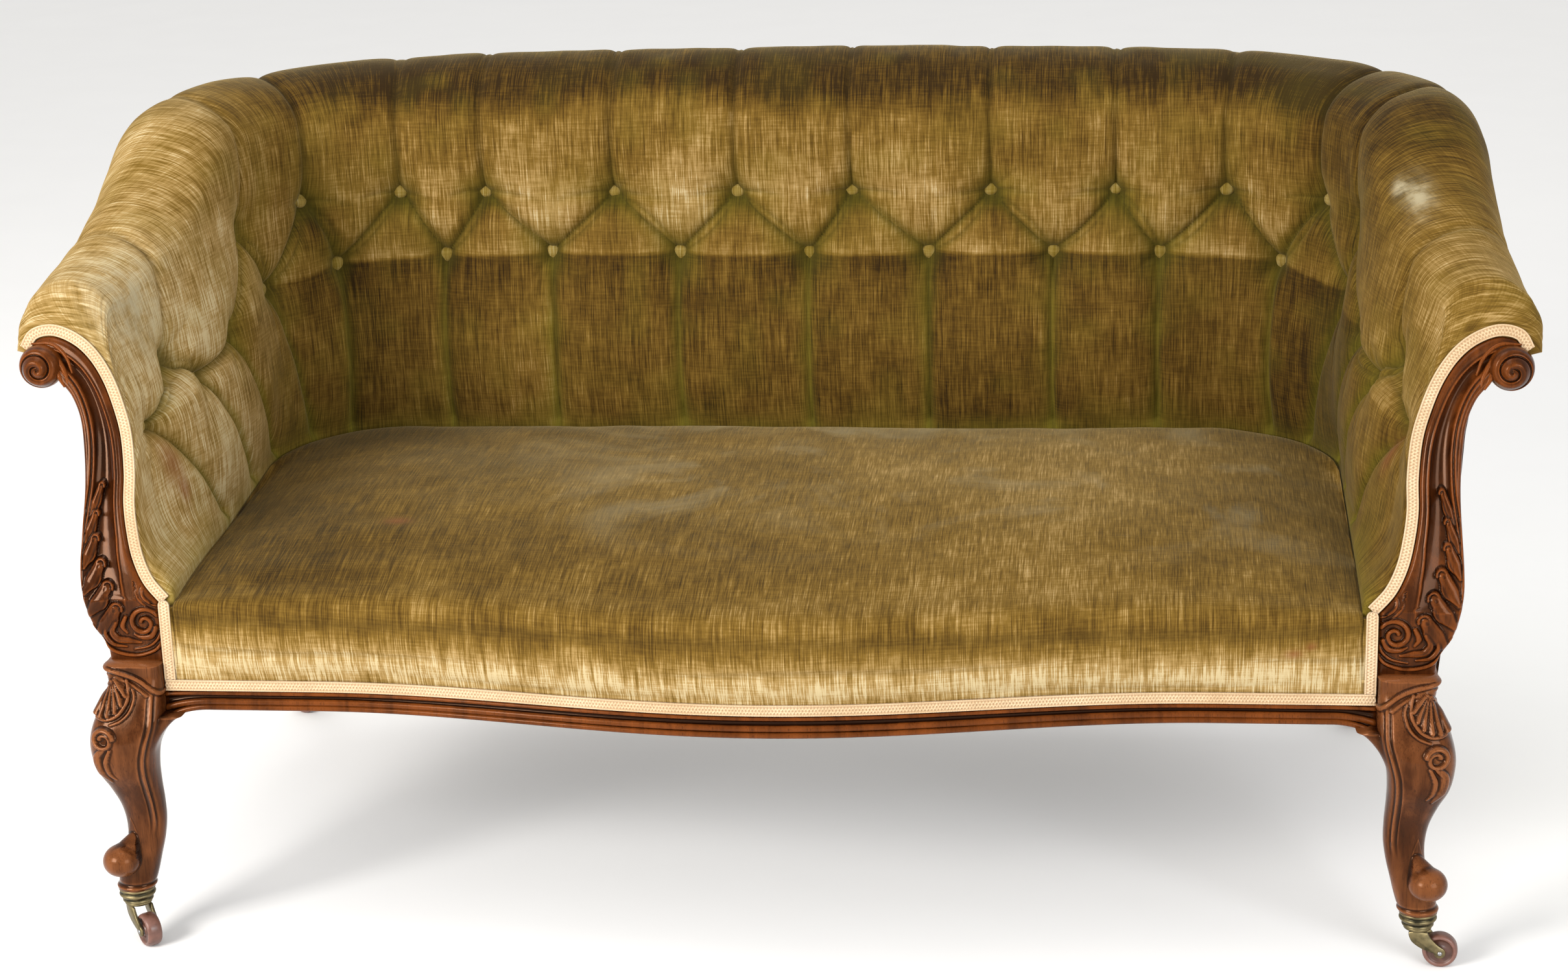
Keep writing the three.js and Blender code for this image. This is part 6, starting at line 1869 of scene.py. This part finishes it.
def cloth_sizes(points, rows, columns):
    """Longest width and length of a grid of cloth, and its area, in metres."""
    grid = np.asarray(points).reshape(rows, columns, 3) * MM
    width = np.linalg.norm(np.diff(grid, axis=0), axis=2).sum(0).max()
    length = np.linalg.norm(np.diff(grid, axis=1), axis=2).sum(1).max()
    edges_a, edges_b = grid[1:, :-1] - grid[:-1, :-1], grid[:-1, 1:] - grid[:-1, :-1]
    area = np.linalg.norm(np.cross(edges_a, edges_b), axis=2).sum()
    return float(width), float(length), float(area)


def stretched(piece, points, rows, columns):
    """States the flat size of a cloth, measured on its grid."""
    width, length, area = cloth_sizes(points, rows, columns)
    print(f"{piece.name}: {width:.3f} x {length:.3f} m, {area:.3f} m2")


def cover_piece(name, node, start, end, rake, material):
    """An outside cover between two lengths along the wall; with a rake it ends at a facing."""
    points, faces, uv = cover_mesh(start, end, rake)
    piece = piece_of(name, points, faces, material, "pale_cloth", uv)
    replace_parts(piece, node)
    rows = len(points) // COVER_COLUMNS
    stretched(piece, points, rows, COVER_COLUMNS)


def dust_cover_piece(material):
    """Black calico tacked under the seat rails, sagging a little between them."""
    (x0, _, _), (x1, y1, _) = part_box("dust_cover")
    half = (x1 - x0) / 2 / MM
    x = np.linspace(-half, half, DUST_ROWS)[:, None]
    seat_back = seat_back_at(np.clip(x, 1 - SEAT_HALF_WIDTH, SEAT_HALF_WIDTH - 1))
    y_back = np.minimum(seat_back + 26, (y1 - FRONT_PLANE) / MM)
    y_front = rail_front(x) + RAIL_DEPTH - 22
    share = np.linspace(0, 1, DUST_COLUMNS)[None, :]
    y = mix(y_front, y_back, share)
    sag = 5 * np.sin(math.pi * share) * (1 - (x / half) ** 2) + 0.8 * value_noise(x + 0 * y, y, 110, 41)
    points = np.stack([x + 0 * y, y, RAIL_BOTTOM - 3.6 - sag], -1).reshape(-1, 3)
    faces = grid_faces(DUST_ROWS, DUST_COLUMNS)
    piece = piece_of("dust_cover_cloth", points, faces, material, "black_calico", points[:, :2])
    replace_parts(piece, "dust_cover")
    stretched(piece, points, DUST_ROWS, DUST_COLUMNS)


# Build

add_camera()
add_studio()

wall_velvet = velvet("wall_velvet", 0.5)
seat_velvet = velvet("seat_velvet", 0.45, water=0.5)
braid = braid_cloth()
walnut = polished_wood("polished_walnut")
facing_walnut = polished_wood("facing_walnut", lift=0.05)
# The legs' walnut is lifted paler as painted light, for the stronger light on them, and its rubbed edges are paler
# too
leg_walnut = polished_wood("worn_and_painted_light_walnut", lift=0.1, gloss=0.26, worn_to=LEG_WORN_AND_PAINTED_LIGHT)
stained_beech = polished_wood("stained_beech", gloss=0.1)
beech = sawn_wood()
pale_cloth = woven("pale_cloth", (0.72, 0.69, 0.52), (0.56, 0.54, 0.38), 900)
jute = woven("jute", (0.45, 0.33, 0.17), (0.3, 0.2, 0.1), 300)
calico = woven("black_calico", (0.035, 0.032, 0.028), (0.02, 0.018, 0.016), 1200)
brass = aged_metal("dark_brass", (0.035, 0.032, 0.02), (0.2, 0.16, 0.08), 0.4)
steel = aged_metal("dull_steel", (0.2, 0.2, 0.2), (0.4, 0.4, 0.41), 0.4)
wheel_glaze = aged_metal("brown_wheel", (0.07, 0.028, 0.018), (0.16, 0.07, 0.05), 0.35, 0.0)

wall, button_spots = wall_piece(wall_velvet)
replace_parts(wall, "back_pad", "right_arm_pad", "left_arm_pad")
buttons_piece(button_spots, wall_velvet)
seat = seat_piece(seat_velvet)
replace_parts(seat, "seat_pad")
seat_braid(braid)
for side in SIDE_NAMES:
    arm_braid(braid, side)

SHOW_WOOD = [
    ("facing_carving", "arm_facing", joined([facing_mesh(), scroll_ball(), *scroll_leaves()]), facing_walnut),
    ("front_leg_carving", "front_leg", leg_mesh(), leg_walnut),
    ("rear_leg_swept", "rear_leg", rear_leg_mesh(), leg_walnut),
]
for side in SIDE_NAMES:
    for name, node, mesh, material in SHOW_WOOD:
        side_piece(name, node, mesh, material, side)
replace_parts(face_out(piece_of("front_rail_moulding", *rail_mesh(), walnut, "walnut")), "front_rail")
for corner, degrees in CASTORS.items():
    castor_pieces(corner, degrees, (brass, steel, wheel_glaze))

back_edge = CORNER_MIDDLE + REAR_LEG_WIDTH / 2
arm_start = back_edge + 0.5
cover_piece("back_cover_cloth", "outside_back_cover", -back_edge, back_edge, False, pale_cloth)
for side, name in SIDE_NAMES.items():
    end = side * along_at_face(NOTCH_HEIGHT, FACING_DEPTH)
    cover_piece(f"{name}_arm_cover_cloth", f"{name}_outside_arm_cover", side * arm_start, end, True, pale_cloth)
dust_cover_piece(calico)

SLOT_MATERIALS = {
    "walnut": walnut,
    "beech": beech,
    "pale_cloth": pale_cloth,
    "jute": jute,
    "black_calico": calico,
    "castor_brass": brass,
    "castor_steel": steel,
    "castor_wheel": wheel_glaze,
}
STAINED_RAILS = ("left_side_seat_rail", "right_side_seat_rail")  # their fronts show beside the front legs
slot_of = {part["node"]: part["material_slot"] for part in frame["record"]["subparts"]}
for node, piece in frame["nodes"].items():
    material = stained_beech if node in STAINED_RAILS else SLOT_MATERIALS.get(slot_of[node])
    if material:
        for slot in piece.material_slots:
            slot.material = material
